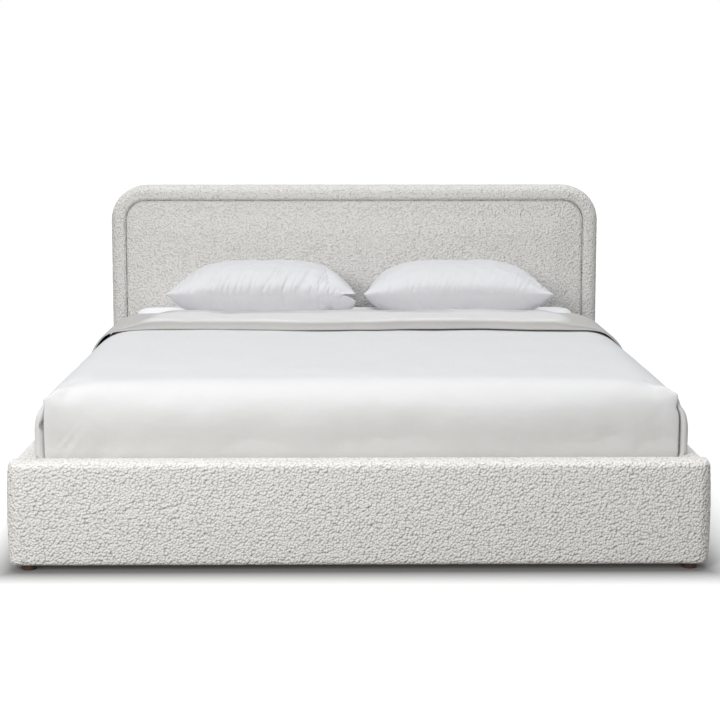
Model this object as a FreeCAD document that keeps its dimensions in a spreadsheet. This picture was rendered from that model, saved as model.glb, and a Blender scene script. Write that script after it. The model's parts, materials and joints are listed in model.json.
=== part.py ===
"""A king-size upholstered bed: timber frame in foam and looped fabric, slats, mattress and bedding.

Millimetres, +Z up. The origin is on the floor under the middle of the bed. X runs across the bed,
and Y runs along it, from the foot (-Y) to the headboard (+Y).
"""

import FreeCAD, Part  # noqa: E401
import os
import re

import Sketcher
from FreeCAD import Rotation, Vector

SIZES = {
    # the outside
    "rail_thick": 90,
    "rail_top": 337,
    "floor_gap": 25,
    "head_top": 1075,
    "head_radius": 155,
    "border_wide": 65,
    "edge_radius": 28,
    "hem_radius": 10,
    "corner_radius": 35,
    # the upholstery and the timber in it
    "foam_thick": 20,
    "lining_thick": 10,
    "skin_thick": 9,
    "batten_high": 32,
    "post_long": 140,
    "post_count": 5,
    "pad_thick": 50,
    "head_panel_thick": 12,
    "head_stile_thick": 38,
    "head_stile_wide": 80,
    "head_seam": 0.5,
    "head_rim_thick": 10,
    "back_board_thick": 8,
    "mount_block_wide": 110,
    "mount_block_top": 300,
    # the mattress and what carries it
    "mattress_wide": 1930,
    "mattress_long": 2030,
    "mattress_thick": 300,
    "mattress_base": 246,
    "mattress_corner": 100,
    "mattress_top_radius": 90,
    "mattress_low_radius": 40,
    "side_gap": 20,
    "end_gap": 25,
    "slat_thick": 18,
    "slat_wide": 80,
    "slat_clear": 4,
    "slat_count": 14,
    "strap_wide": 25,
    "strap_thick": 1.2,
    "strap_place": 500,
    "ledger_wide": 30,
    "ledger_high": 40,
    "ledger_clear": 5,
    "ledger_screw_count": 8,
    "beam_wide": 40,
    "beam_high": 40,
    "beam_wall": 2.5,
    "beam_clear": 1,
    "hanger_thick": 3,
    "hanger_wide": 120,
    "hanger_deep": 50,
    "leg_spacing": 520,
    "leg_radius": 19,
    "leg_wall": 2,
    "leg_plate_thick": 4,
    "leg_plate_long": 84,
    "leg_bolt_place": 31,
    "leg_bolt_long": 16,
    "plug_long": 30,
    "glide_radius": 20,
    "glide_pad_thick": 8,
    "glide_nut_thick": 6,
    "glide_nut_radius": 8,
    "glide_gap": 2,
    # brackets and fasteners
    "bracket_leg": 60,
    "bracket_thick": 4,
    "bracket_low": 60,
    "bracket_high": 110,
    "bolt_radius": 4,
    "bolt_long": 46,
    "bolt_head_radius": 7,
    "bolt_head_thick": 5,
    "bolt_place": 38,
    "bolt_rise": 25,
    "screw_radius": 2.5,
    "screw_long": 42,
    "screw_head_radius": 5,
    "screw_head_thick": 2.5,
    "bore_spare": 4,
    "hole_clear": 0.2,
    "thread_clear": 0.05,
    "plug_clear": 0.1,
    "foot_radius": 25,
    "foot_base_radius": 23,
    "foot_chamfer": 2,
    "foot_inset": 54,
    "foot_socket": 14,
    # the bedding
    "sheet_thick": 1.5,
    "sheet_clear": 0.5,
    "sheet_hem": 12,
    "duvet_proud": 60,
    "duvet_thick": 24,
    "duvet_side_radius": 185,
    "duvet_foot_radius": 105,
    "duvet_head_gap": 570,
    "duvet_clear": 3,
    "duvet_tuck": 52,
    "duvet_tuck_thick": 11,
    "duvet_over_rail": 8,
    "fold_deep": 400,
    "fold_thick": 45,
    "fold_side": 5,
    "fold_radius": 20,
    "pillow_wide": 786,
    "pillow_deep": 500,
    "pillow_thick": 226,
    "pillow_seam_high": 108,
    "pillow_low_inset": 90,
    "pillow_top_inset": 125,
    "pillow_left_place": 386,
    "pillow_right_place": 424,
    "pillow_head_gap": 22,
    "case_thick": 2,
    "case_clear": 0.4,
    "rest_clear": 0.3,
}

# Places and sizes that follow from the driving dimensions.
PLACES = {
    "inside_x": "mattress_wide / 2 + side_gap",
    "half_wide": "inside_x + rail_thick",
    "head_thick": "pad_thick + head_panel_thick + head_stile_thick + head_rim_thick",
    "inner_long": "mattress_long + 2 * end_gap",
    "foot_face": "-(rail_thick + inner_long + head_thick) / 2",
    "foot_inner": "foot_face + rail_thick",
    "head_face": "foot_inner + inner_long",
    "head_back": "head_face + head_thick",
    "core_low": "floor_gap",
    "core_top": "rail_top - foam_thick",
    "core_out_x": "half_wide - foam_thick",
    "core_in_x": "inside_x + lining_thick",
    "foot_core_out": "foot_face + foam_thick",
    "foot_core_in": "foot_inner - lining_thick",
    "panel_face": "head_face + pad_thick",
    "stile_face": "panel_face + head_panel_thick",
    "stile_back": "stile_face + head_stile_thick",
    "pad_half": "half_wide - border_wide",
    "pad_top": "head_top - border_wide",
    "pad_radius": "head_radius - border_wide",
    "slat_low": "mattress_base - slat_thick",
    "ledger_low": "slat_low - ledger_high",
    "beam_low": "slat_low - beam_high",
    "leg_low": "glide_pad_thick + glide_nut_thick + glide_gap",
    "foot_place_x": "half_wide - foot_inset",
    "foot_place_y": "(foot_core_out + foot_core_in) / 2",
    "rear_foot_y": "(panel_face + stile_back) / 2",
    "bore_reach": "bolt_long + bore_spare",
    "mattress_foot": "foot_inner + end_gap",
    "mattress_head": "head_face - end_gap",
    "mattress_top": "mattress_base + mattress_thick",
    "sheet_out": "sheet_clear + sheet_thick",
    "sheet_top": "mattress_top + sheet_out",
    "duvet_half": "mattress_wide / 2 + duvet_proud",
    "duvet_top": "mattress_top + duvet_thick",
    "duvet_head": "head_face - duvet_head_gap",
    "duvet_low": "rail_top + duvet_over_rail",
    "duvet_drop": "duvet_top - duvet_low",
    "duvet_foot": "foot_inner + duvet_clear",
    "tuck_half": "mattress_wide / 2 + sheet_out + duvet_clear + duvet_tuck_thick",
    "tuck_foot": "mattress_foot - sheet_out - duvet_clear - duvet_tuck_thick",
    "pillow_low": "sheet_top + rest_clear",
    "pillow_back": "head_face - pillow_head_gap",
}

TURNS = {"x": Rotation(Vector(0, 1, 0), 90), "y": Rotation(Vector(1, 0, 0), -90), "z": Rotation()}
NEAR = 0.01  # two places this near each other are one

doc = FreeCAD.newDocument("upholstered_bed")
sizes = doc.addObject("Spreadsheet::Sheet", "Sizes")
for row, (alias, number) in enumerate(SIZES.items(), start=1):
    sizes.set(f"A{row}", alias)
    sizes.set(f"B{row}", str(number))
    sizes.setAlias(f"B{row}", alias)
doc.recompute()


def bind(text):
    """An expression in the sheet's names, with every place written out."""

    def spell(found):
        word = found.group(0)
        if word in PLACES:
            return f"({bind(PLACES[word])})"
        return f"Sizes.{word}" if word in SIZES else word

    return re.sub(r"[a-z][a-z_0-9]*", spell, str(text))


def value(text):
    """What an expression comes to, in millimetres."""
    return float(sizes.evalExpression(bind(text)))


def place(made, x, y, z):
    for axis, text in zip("xyz", (x, y, z)):
        made.setExpression(f"Placement.Base.{axis}", bind(text))
    return made


def box(name, x, y, z):
    """A block between the two places given for each axis, low then high."""
    made = doc.addObject("Part::Box", name)
    for side, (low, high) in zip(("Length", "Width", "Height"), (x, y, z)):
        made.setExpression(side, bind(f"({high}) - ({low})"))
    return place(made, x[0], y[0], z[0])


def mirrored(side, near, far):
    """The places low and high of a span that lies on one side of the middle, at +1 or -1."""
    return (near, far) if side > 0 else (f"-({far})", f"-({near})")


def inwards(end_y, inward, depth):
    """The span from an end of the frame to a depth inside it, low then high."""
    ends = (end_y, f"{end_y} + {inward} * {depth}")
    return ends if inward > 0 else ends[::-1]


def rod(name, axis, start, radius, length):
    """A cylinder from its start point along +X, +Y or +Z."""
    made = doc.addObject("Part::Cylinder", name)
    made.setExpression("Radius", bind(radius))
    made.setExpression("Height", bind(length))
    made.Placement.Rotation = TURNS[axis]
    return place(made, *start)


def bore(name, axis, through, radius, clear="hole_clear"):
    """A rod to cut with, which reaches as far past a point on both sides."""
    start = [f"({c}) - bore_reach" if a == axis else c for a, c in zip("xyz", through)]
    return rod(name, axis, start, f"{radius} + {clear}", "2 * bore_reach")


def group(name, members):
    made = doc.addObject("Part::Compound", name)
    made.Links = members
    return made


def fuse(name, members):
    made = doc.addObject("Part::MultiFuse", name)
    made.Shapes = members
    return made


def common(name, first, second):
    made = doc.addObject("Part::MultiCommon", name)
    made.Shapes = [first, second]
    return made


def cut(name, base, tool):
    made = doc.addObject("Part::Cut", name)
    made.Base = base
    made.Tool = tool
    return made


def sketch(body, role, offset, corners):
    """A closed outline of straight lines on one of the body's origin planes, moved along its normal."""
    made = body.newObject("Sketcher::SketchObject", f"{body.Name}_outline")
    plane = next(f for f in body.Origin.OriginFeatures if f.Role == role)
    made.AttachmentSupport = (plane, [""])
    made.MapMode = "FlatFace"
    made.setExpression("AttachmentOffset.Base.z", bind(offset))
    points = [Vector(value(a), value(b), 0) for a, b in corners]
    count = len(points)
    for i in range(count):
        made.addGeometry(Part.LineSegment(points[i], points[(i + 1) % count]), False)
    for i in range(count):
        made.addConstraint(Sketcher.Constraint("Coincident", i, 2, (i + 1) % count, 1))
    for i, (across, up) in enumerate(corners):
        for kind, text, number in (
            ("DistanceX", across, points[i].x),
            ("DistanceY", up, points[i].y),
        ):
            at = made.addConstraint(Sketcher.Constraint(kind, -1, 1, i, 1, number))
            made.setExpression(f"Constraints[{at}]", bind(text))
    return made


def pad(body, outline, length, backwards=False):
    made = body.newObject("PartDesign::Pad", f"{body.Name}_pad")
    made.Profile = outline
    made.setExpression("Length", bind(length))
    made.Reversed = backwards
    doc.recompute()
    return made


def fillet(body, radius, test):
    """Rounds the edges of the body's tip whose bounding box passes the test."""
    tip = body.Tip
    names = [f"Edge{i}" for i, e in enumerate(tip.Shape.Edges, start=1) if test(e.BoundBox)]
    made = body.newObject("PartDesign::Fillet", f"{body.Name}_round")
    made.Base = (tip, names)
    made.setExpression("Radius", bind(radius))
    doc.recompute()
    return made


def near(a, b):
    return abs(a - b) < NEAR


def rectangle(x, y):
    return [(x[0], y[0]), (x[1], y[0]), (x[1], y[1]), (x[0], y[1])]


def block_body(name, x, y, z):
    """A Body holding one rectangular pad that stands on the XY plane, ready for its fillets."""
    body = doc.addObject("PartDesign::Body", name)
    pad(body, sketch(body, "XY_Plane", z[0], rectangle(x, y)), f"({z[1]}) - ({z[0]})")
    return body


def arch(name, half, low, top, radius, y):
    """A Body with the headboard's outline: straight sides and foot, and two round top corners."""
    body = doc.addObject("PartDesign::Body", name)
    outline = sketch(body, "XZ_Plane", f"-({y[0]})", rectangle((f"-({half})", half), (low, top)))
    pad(body, outline, f"({y[1]}) - ({y[0]})", backwards=True)
    high = value(top)
    fillet(body, radius, lambda b: b.YLength > NEAR and near(b.ZMin, high) and near(b.ZMax, high)
           and b.XLength < NEAR)
    return body


def bolt(name, axis, toward, head, shank_radius, shank_long, head_radius, head_thick):
    """A pan-headed fastener. head is where its head bears, and toward is +1 or -1 along the axis."""
    back = [f"({c}) - {toward} * {head_thick}" if a == axis else c for a, c in zip("xyz", head)]
    low_shank = [f"({c}) - {shank_long}" if a == axis else c for a, c in zip("xyz", head)]
    if toward > 0:
        parts = [rod(f"{name}_head", axis, back, head_radius, head_thick)]
        parts.append(rod(f"{name}_shank", axis, head, shank_radius, shank_long))
    else:
        parts = [rod(f"{name}_head", axis, head, head_radius, head_thick)]
        parts.append(rod(f"{name}_shank", axis, low_shank, shank_radius, shank_long))
    return fuse(name, parts)


nodes = []


def node(made, label):
    """Gives a finished piece the name that its file has."""
    made.Label = label
    nodes.append(made)
    return made


SIDES = {"left": -1, "right": 1}
ENDS = {"foot": ("foot_inner", 1), "head": ("head_face", -1)}
BOLT_HEIGHTS = ("bracket_low + bolt_rise", "bracket_low + bracket_high - bolt_rise")


# Bores and fasteners, shared by every piece that they pass through.

rail_bores, end_bores, bracket_bolts = [], [], []
for side_name, side in SIDES.items():
    for end_name, (end_y, inward) in ENDS.items():
        rail_y = f"{end_y} + {inward} * bolt_place"
        end_x = f"{side} * (inside_x - bolt_place)"
        for level, z in enumerate(BOLT_HEIGHTS, start=1):
            tag = f"{side_name}_{end_name}_{level}"
            wall_x = f"{side} * (inside_x - bracket_thick)"
            wall_y = f"{end_y} + {inward} * bracket_thick"
            rail_bores.append(bore(f"rail_bore_{tag}", "x", (wall_x, rail_y, z), "bolt_radius"))
            end_bores.append(bore(f"end_bore_{tag}", "y", (end_x, wall_y, z), "bolt_radius"))
            heads = ("bolt_radius", "bolt_long", "bolt_head_radius", "bolt_head_thick")
            bracket_bolts.append(bolt(f"rail_bolt_{tag}", "x", side, (wall_x, rail_y, z), *heads))
            bracket_bolts.append(bolt(f"end_bolt_{tag}", "y", -inward, (end_x, wall_y, z), *heads))

HANGER_BOLT_X = "hanger_wide / 2 - bolt_rise / 2 - bolt_radius"
HANGER_BOLT_Z = "beam_low + beam_high / 2"
for side_name, side in SIDES.items():
    for end_name, (end_y, inward) in ENDS.items():
        at = (f"{side} * ({HANGER_BOLT_X})", f"{end_y} + {inward} * hanger_thick", HANGER_BOLT_Z)
        end_bores.append(bore(f"hanger_bore_{side_name}_{end_name}", "y", at, "bolt_radius"))
        bracket_bolts.append(bolt(f"hanger_bolt_{side_name}_{end_name}", "y", -inward, at,
                                  "bolt_radius", "bolt_long", "bolt_head_radius", "bolt_head_thick"))

screw_bores, ledger_screws = [], []
SCREW_COUNT = SIZES["ledger_screw_count"]
for side_name, side in SIDES.items():
    for i in range(SCREW_COUNT):
        y = f"foot_inner + inner_long * {i + 0.5} / ledger_screw_count"
        at = (f"{side} * (inside_x - ledger_wide)", y, "ledger_low + ledger_high / 2")
        screw_bores.append(bore(f"screw_bore_{side_name}_{i}", "x", at, "screw_radius"))
        ledger_screws.append(bolt(f"ledger_screw_{side_name}_{i}", "x", side, at, "screw_radius",
                                  "screw_long", "screw_head_radius", "screw_head_thick"))

FOOT_PLACES = {
    f"{end}_{side_name}": (f"{side} * foot_place_x", y)
    for side_name, side in SIDES.items()
    for end, y in (("front", "foot_place_y"), ("rear", "rear_foot_y"))
}
stud_bores = [bore(f"stud_bore_{name}", "z", (x, y, "core_low"), "bolt_radius", "thread_clear")
              for name, (x, y) in FOOT_PLACES.items()]

rail_tool = group("rail_tool", rail_bores)
end_tool = group("end_tool", end_bores)
screw_tool = group("screw_tool", screw_bores)
stud_tool = group("stud_tool", stud_bores)
side_tool = group("side_tool", [rail_tool, screw_tool])
foot_tool = group("foot_tool", [end_tool, stud_tool])
node(group("bracket_bolts", bracket_bolts), "bracket_bolts")
node(group("ledger_screws", ledger_screws), "ledger_screws")


# Side rails: a timber box of two plywood skins on battens and posts, in a foam and fabric cover.

def rail_cover(name, side):
    body = doc.addObject("PartDesign::Body", f"{name}_body")
    across = [(f"{side} * ({x})", z) for x, z in (
        ("half_wide", "floor_gap"), ("half_wide", "rail_top"), ("inside_x", "rail_top"),
        ("inside_x", "floor_gap"), ("core_in_x", "floor_gap"), ("core_in_x", "core_top"),
        ("core_out_x", "core_top"), ("core_out_x", "floor_gap"))]
    pad(body, sketch(body, "XZ_Plane", "-(foot_inner)", across), "inner_long", backwards=True)
    top, low, out = value("rail_top"), value("floor_gap"), side * value("half_wide")
    fillet(body, "edge_radius", lambda b: b.YLength > 1 and near(b.ZMin, top))
    fillet(body, "hem_radius", lambda b: b.YLength > 1 and near(b.ZMin, low) and near(b.XMin, out))
    node(cut(name, body, side_tool), name)


def rail_timber(name, side):
    skins = []
    for face, (near_x, far_x) in (("inner", ("core_in_x", "core_in_x + skin_thick")),
                                  ("outer", ("core_out_x - skin_thick", "core_out_x"))):
        skins.append(box(f"{name}_{face}_skin", mirrored(side, near_x, far_x),
                         ("foot_inner", "head_face"), ("core_low", "core_top")))
    node(cut(f"{name}_skins", group(f"{name}_skin_pair", skins), side_tool), f"{name}_skins")

    across = mirrored(side, "core_in_x + skin_thick", "core_out_x - skin_thick")
    members = []
    for level, z in (("top", ("core_top - batten_high", "core_top")),
                     ("low", ("core_low", "core_low + batten_high"))):
        members.append(box(f"{name}_{level}_batten", across, ("foot_inner", "head_face"), z))
    for i in range(SIZES["post_count"]):
        start = f"foot_inner + (inner_long - post_long) * {i} / (post_count - 1)"
        members.append(box(f"{name}_post_{i}", across, (start, f"{start} + post_long"),
                           ("core_low + batten_high", "core_top - batten_high")))
    node(cut(f"{name}_battens", group(f"{name}_timber", members), side_tool), f"{name}_battens")


for side_name, side in SIDES.items():
    rail_cover(f"{side_name}_rail_cover", side)
    rail_timber(f"{side_name}_rail", side)


# Footboard: the same build, turned across the bed, with rounded outer corners.

def footboard_cover():
    body = block_body("footboard_cover_body", ("-(half_wide)", "half_wide"),
                      ("foot_face", "foot_inner"), ("floor_gap", "rail_top"))
    front, back = value("foot_face"), value("foot_inner")
    low, top = value("floor_gap"), value("rail_top")
    fillet(body, "corner_radius", lambda b: b.ZLength > 1 and near(b.YMin, front))
    fillet(body, "edge_radius", lambda b: near(b.ZMin, top) and not near(b.YMin, back))
    fillet(body, "edge_radius", lambda b: near(b.ZMin, top) and near(b.YMin, back) and b.XLength > 1)
    fillet(body, "hem_radius", lambda b: near(b.ZMax, low) and not near(b.YMin, back))
    hollow = box("footboard_hollow", ("-(core_out_x)", "core_out_x"),
                 ("foot_core_out", "foot_core_in"), ("0", "core_top"))
    shell = cut("footboard_shell", body, hollow)
    node(cut("footboard_cover", shell, end_tool), "footboard_cover")


def footboard_timber():
    wide = ("-(core_out_x)", "core_out_x")
    faces = (("inner", ("foot_core_in - skin_thick", "foot_core_in")),
             ("outer", ("foot_core_out", "foot_core_out + skin_thick")))
    skins = [box(f"footboard_{face}_skin", wide, y, ("core_low", "core_top")) for face, y in faces]
    node(cut("footboard_skins", group("footboard_skin_pair", skins), end_tool), "footboard_skins")

    deep = ("foot_core_out + skin_thick", "foot_core_in - skin_thick")
    members = [
        box("footboard_top_batten", wide, deep, ("core_top - batten_high", "core_top")),
        box("footboard_low_batten", wide, deep, ("core_low", "core_low + batten_high")),
    ]
    for i in range(SIZES["post_count"]):
        start = f"(2 * core_out_x - post_long) * {i} / (post_count - 1) - core_out_x"
        members.append(box(f"footboard_post_{i}", (start, f"{start} + post_long"), deep,
                           ("core_low + batten_high", "core_top - batten_high")))
    node(cut("footboard_battens", group("footboard_timber", members), foot_tool),
         "footboard_battens")


footboard_cover()
footboard_timber()


# Headboard: a plywood panel on stiles, a padded border round its edge and a padded centre.

def outer_edges(y, half, top):
    """Tests for the edges of an arch's outline at one of its two faces, its foot left out."""
    return lambda b: near(b.YMin, y) and near(b.YMax, y) and (
        near(b.ZMax, top) or near(abs(b.XMin), half) and b.ZLength > 1)


def headboard():
    core = ("half_wide - foam_thick", "core_low", "head_top - foam_thick")
    core_radius = "head_radius - foam_thick"
    envelope = arch("head_envelope", core[0], "0", core[2], core_radius,
                    ("panel_face", "stile_back"))

    border = arch("head_border_body", "half_wide", "floor_gap", "head_top", "head_radius",
                  ("head_face", "head_back"))
    half, top = value("half_wide"), value("head_top")
    for face in ("head_face", "head_back"):
        fillet(border, "edge_radius", outer_edges(value(face), half, top))
    middle = arch("head_middle", "pad_half", "0", "pad_top", "pad_radius",
                  ("head_face - 1", "head_back + 1"))
    ring = cut("head_ring", border, middle)
    node(cut("headboard_border", ring, envelope), "headboard_border")

    panel = arch("head_panel_body", *core, core_radius, ("panel_face", "stile_face"))
    node(cut("headboard_panel", panel, end_tool), "headboard_panel")

    low, high = "core_low + head_stile_wide", "head_top - foam_thick - head_stile_wide"
    edge = "half_wide - foam_thick"
    deep = ("stile_face", "stile_back")
    members = [
        box("head_low_rail", (f"-({edge})", edge), deep, ("core_low", low)),
        box("head_top_rail", (f"-({edge})", edge), deep, (high, "head_top - foam_thick")),
    ]
    for i in range(SIZES["post_count"]):
        start = f"(2 * ({edge}) - head_stile_wide) * {i} / (post_count - 1) - ({edge})"
        members.append(box(f"head_stile_{i}", (start, f"{start} + head_stile_wide"), deep,
                           (low, high)))
    trimmed = common("head_stiles_trimmed", group("head_stiles", members), envelope)
    node(cut("headboard_stiles", trimmed, stud_tool), "headboard_stiles")

    blocks, seats = [], []
    spans = {
        "left": mirrored(-1, "pad_half - mount_block_wide", "pad_half - head_seam"),
        "middle": ("-(hanger_wide / 2)", "hanger_wide / 2"),
        "right": mirrored(1, "pad_half - mount_block_wide", "pad_half - head_seam"),
    }
    for name, (x0, x1) in spans.items():
        blocks.append(box(f"head_block_{name}", (x0, x1), ("head_face", "panel_face"),
                          ("core_low", "mount_block_top")))
        seats.append(box(f"head_seat_{name}", (f"{x0} - head_seam", f"{x1} + 2 * head_seam"),
                         ("head_face - 1", "panel_face + 1"), ("0", "mount_block_top + head_seam")))
    node(cut("headboard_mount_blocks", group("head_blocks", blocks), end_tool),
         "headboard_mount_blocks")

    centre = arch("head_pad_body", "pad_half - head_seam", "core_low", "pad_top - head_seam",
                  "pad_radius - head_seam", ("head_face", "panel_face"))
    fillet(centre, "edge_radius",
           outer_edges(value("head_face"), value("pad_half - head_seam"),
                       value("pad_top - head_seam")))
    node(cut("headboard_centre_pad", centre, group("head_seats", seats)), "headboard_centre_pad")

    node(arch("head_back_body", "pad_half - head_seam", "core_low", "pad_top - head_seam",
              "pad_radius - head_seam", ("stile_back", "stile_back + back_board_thick")),
         "headboard_back_board")


headboard()


# Corner brackets, ledgers, slats, and the centre beam with its legs.

def corner_bracket(side_name, side, end_name, end_y, inward):
    height = ("bracket_low", "bracket_low + bracket_high")
    rail_leg = box(f"bracket_rail_leg_{side_name}_{end_name}",
                   mirrored(side, "inside_x - bracket_thick", "inside_x"),
                   inwards(end_y, inward, "bracket_leg"), height)
    end_leg = box(f"bracket_end_leg_{side_name}_{end_name}",
                  mirrored(side, "inside_x - bracket_leg", "inside_x"),
                  inwards(end_y, inward, "bracket_thick"), height)
    angle = fuse(f"bracket_angle_{side_name}_{end_name}", [rail_leg, end_leg])
    bored = cut(f"bracket_rail_bored_{side_name}_{end_name}", angle, rail_tool)
    name = f"corner_bracket_{end_name}_{side_name}"
    node(cut(name, bored, end_tool), name)


for side_name, side in SIDES.items():
    for end_name, (end_y, inward) in ENDS.items():
        corner_bracket(side_name, side, end_name, end_y, inward)
    batten = box(f"{side_name}_ledger_batten", mirrored(side, "inside_x - ledger_wide", "inside_x"),
                 ("foot_inner + ledger_clear", "head_face - ledger_clear"),
                 ("ledger_low", "slat_low"))
    node(cut(f"{side_name}_slat_ledger", batten, screw_tool), f"{side_name}_slat_ledger")

SLAT_COUNT = SIZES["slat_count"]
for i in range(SLAT_COUNT):
    start = f"mattress_foot + (mattress_long - slat_wide) * {i} / (slat_count - 1)"
    node(box(f"slat_{i + 1:02d}_board", ("-(inside_x - slat_clear)", "inside_x - slat_clear"),
             (start, f"{start} + slat_wide"), ("slat_low", "mattress_base")),
         f"slat_{i + 1:02d}")

straps = [box(f"strap_{side_name}", mirrored(side, "strap_place", "strap_place + strap_wide"),
              ("mattress_foot", "mattress_head"), ("slat_low - strap_thick", "slat_low"))
          for side_name, side in SIDES.items()]
node(group("slat_straps", straps), "slat_straps")


def beam_and_hangers():
    leg_bores, leg_bolts = [], []
    for i in (-1, 0, 1):
        for step in (-1, 1):
            at = ("0", f"{i} * leg_spacing + {step} * leg_bolt_place", "beam_low - leg_plate_thick")
            leg_bores.append(bore(f"leg_bore_{i}_{step}", "z", at, "screw_radius"))
            leg_bolts.append(bolt(f"leg_bolt_{i}_{step}", "z", 1, at, "screw_radius",
                                  "leg_bolt_long", "screw_head_radius", "screw_head_thick"))
    tool = group("leg_tool", leg_bores)
    node(group("leg_bolts", leg_bolts), "leg_bolts")

    along = ("foot_inner + hanger_thick + beam_clear", "head_face - hanger_thick - beam_clear")
    outside = box("beam_outside", ("-beam_wide / 2", "beam_wide / 2"), along,
                  ("beam_low", "slat_low"))
    inside = box("beam_inside", ("beam_wall - beam_wide / 2", "beam_wide / 2 - beam_wall"),
                 (f"{along[0]} - 1", f"{along[1]} + 1"), ("beam_low + beam_wall", "slat_low - beam_wall"))
    tube = cut("beam_tube", outside, inside)
    holes = common("beam_holes", tool, box("beam_floor", ("-beam_wide", "beam_wide"), along,
                                           ("0", "beam_low + beam_high / 2")))
    node(cut("centre_beam", tube, holes), "centre_beam")

    hangers = []
    cradle = "beam_wide / 2 + beam_clear"
    for end_name, (end_y, inward) in ENDS.items():
        low = "beam_low - hanger_thick"
        shelf_span = inwards(end_y, inward, "hanger_deep")
        plates = [
            box(f"hanger_back_{end_name}", ("-hanger_wide / 2", "hanger_wide / 2"),
                inwards(end_y, inward, "hanger_thick"), (low, "slat_low - beam_clear")),
            box(f"hanger_shelf_{end_name}", (f"-({cradle})", cradle),
                shelf_span, (low, "beam_low")),
        ]
        for side_name, side in SIDES.items():
            plates.append(box(f"hanger_cheek_{end_name}_{side_name}",
                              mirrored(side, cradle, f"{cradle} + hanger_thick"),
                              shelf_span, (low, "slat_low - beam_clear")))
        hangers.append(fuse(f"hanger_{end_name}", plates))
    node(cut("beam_hangers", group("hanger_pair", hangers), end_tool), "beam_hangers")
    return tool


def support_leg(number, y, tool):
    plate = box(f"leg_plate_{number}", ("-beam_wide / 2", "beam_wide / 2"),
                (f"{y} - leg_plate_long / 2", f"{y} + leg_plate_long / 2"),
                ("beam_low - leg_plate_thick", "beam_low"))
    tall = "beam_low - leg_plate_thick - leg_low"
    start = ("0", y, "leg_low")
    tube = cut(f"leg_tube_{number}", rod(f"leg_outside_{number}", "z", start, "leg_radius", tall),
               rod(f"leg_inside_{number}", "z", start, "leg_radius - leg_wall", tall))
    bored = cut(f"leg_plate_bored_{number}", plate, tool)
    node(fuse(f"leg_{number}", [bored, tube]), f"support_leg_{number}")

    plug = rod(f"plug_{number}", "z", start, "leg_radius - leg_wall - plug_clear", "plug_long")
    thread = rod(f"plug_thread_{number}", "z", start, "bolt_radius + thread_clear", "plug_long")
    return cut(f"leg_plug_{number}", plug, thread)


def levelling_glide(number, y):
    foot = doc.addObject("Part::Cone", f"glide_pad_{number}")
    foot.setExpression("Radius1", bind("glide_radius"))
    foot.setExpression("Radius2", bind("glide_radius - glide_pad_thick / 2"))
    foot.setExpression("Height", bind("glide_pad_thick"))
    place(foot, "0", y, "0")
    nut = doc.addObject("Part::Prism", f"glide_nut_{number}")
    nut.Polygon = 6
    nut.setExpression("Circumradius", bind("glide_nut_radius"))
    nut.setExpression("Height", bind("glide_nut_thick"))
    place(nut, "0", y, "glide_pad_thick")
    stem = rod(f"glide_stem_{number}", "z", ("0", y, "glide_pad_thick"), "bolt_radius",
               "glide_nut_thick + glide_gap + plug_long")
    node(fuse(f"glide_{number}", [foot, nut, stem]), f"levelling_glide_{number}")


leg_tool = beam_and_hangers()
plugs = []
for number, step in enumerate((-1, 0, 1), start=1):
    plugs.append(support_leg(number, f"{step} * leg_spacing", leg_tool))
    levelling_glide(number, f"{step} * leg_spacing")
node(group("leg_plugs", plugs), "leg_plugs")


# Corner feet, turned from wood, on threaded studs.

def corner_foot(name, x, y):
    body = doc.addObject("PartDesign::Body", f"foot_{name}_body")
    half = [("0", "0"), ("foot_base_radius - foot_chamfer", "0"), ("foot_base_radius", "foot_chamfer"),
            ("foot_radius", "floor_gap"), ("0", "floor_gap")]
    outline = sketch(body, "XZ_Plane", "0", half)
    turned = body.newObject("PartDesign::Revolution", f"foot_{name}_turned")
    turned.Profile = outline
    turned.ReferenceAxis = (outline, ["V_Axis"])
    turned.Angle = 360
    place(body, x, y, "0")
    doc.recompute()
    socket = rod(f"foot_{name}_socket", "z", (x, y, "floor_gap - foot_socket"),
                 "bolt_radius + thread_clear", "foot_socket")
    node(cut(f"foot_{name}", body, socket), f"foot_{name}")
    top = "core_low + batten_high - 1"
    low = "floor_gap - foot_socket + 1"
    return rod(f"foot_{name}_stud", "z", (x, y, low), "bolt_radius", f"{top} - ({low})")


node(group("foot_studs", [corner_foot(name, x, y) for name, (x, y) in FOOT_PLACES.items()]),
     "foot_studs")


# The mattress and the bedding.

def soft_block(name, grow, low):
    """The mattress's shape, grown by a margin on every side and started at a given height."""
    grow = f"({grow})"
    half = f"mattress_wide / 2 + {grow}"
    body = block_body(name, (f"-({half})", half),
                      (f"mattress_foot - {grow}", f"mattress_head + {grow}"),
                      (low, f"mattress_top + {grow}"))
    top = value(f"mattress_top + {grow}")
    fillet(body, f"mattress_corner + {grow}", lambda b: b.ZLength > 1)
    fillet(body, f"mattress_top_radius + {grow}", lambda b: near(b.ZMin, top))
    return body


mattress = soft_block("mattress_body", "0", "mattress_base")
mattress_floor = value("mattress_base")
fillet(mattress, "mattress_low_radius", lambda b: near(b.ZMax, mattress_floor))
node(mattress, "mattress")

sheet_low = "mattress_base + mattress_low_radius + sheet_hem"
node(cut("fitted_sheet_shell", soft_block("sheet_outside", "sheet_out", sheet_low),
         soft_block("sheet_inside", "sheet_clear", f"{sheet_low} - 1")), "fitted_sheet")


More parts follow.
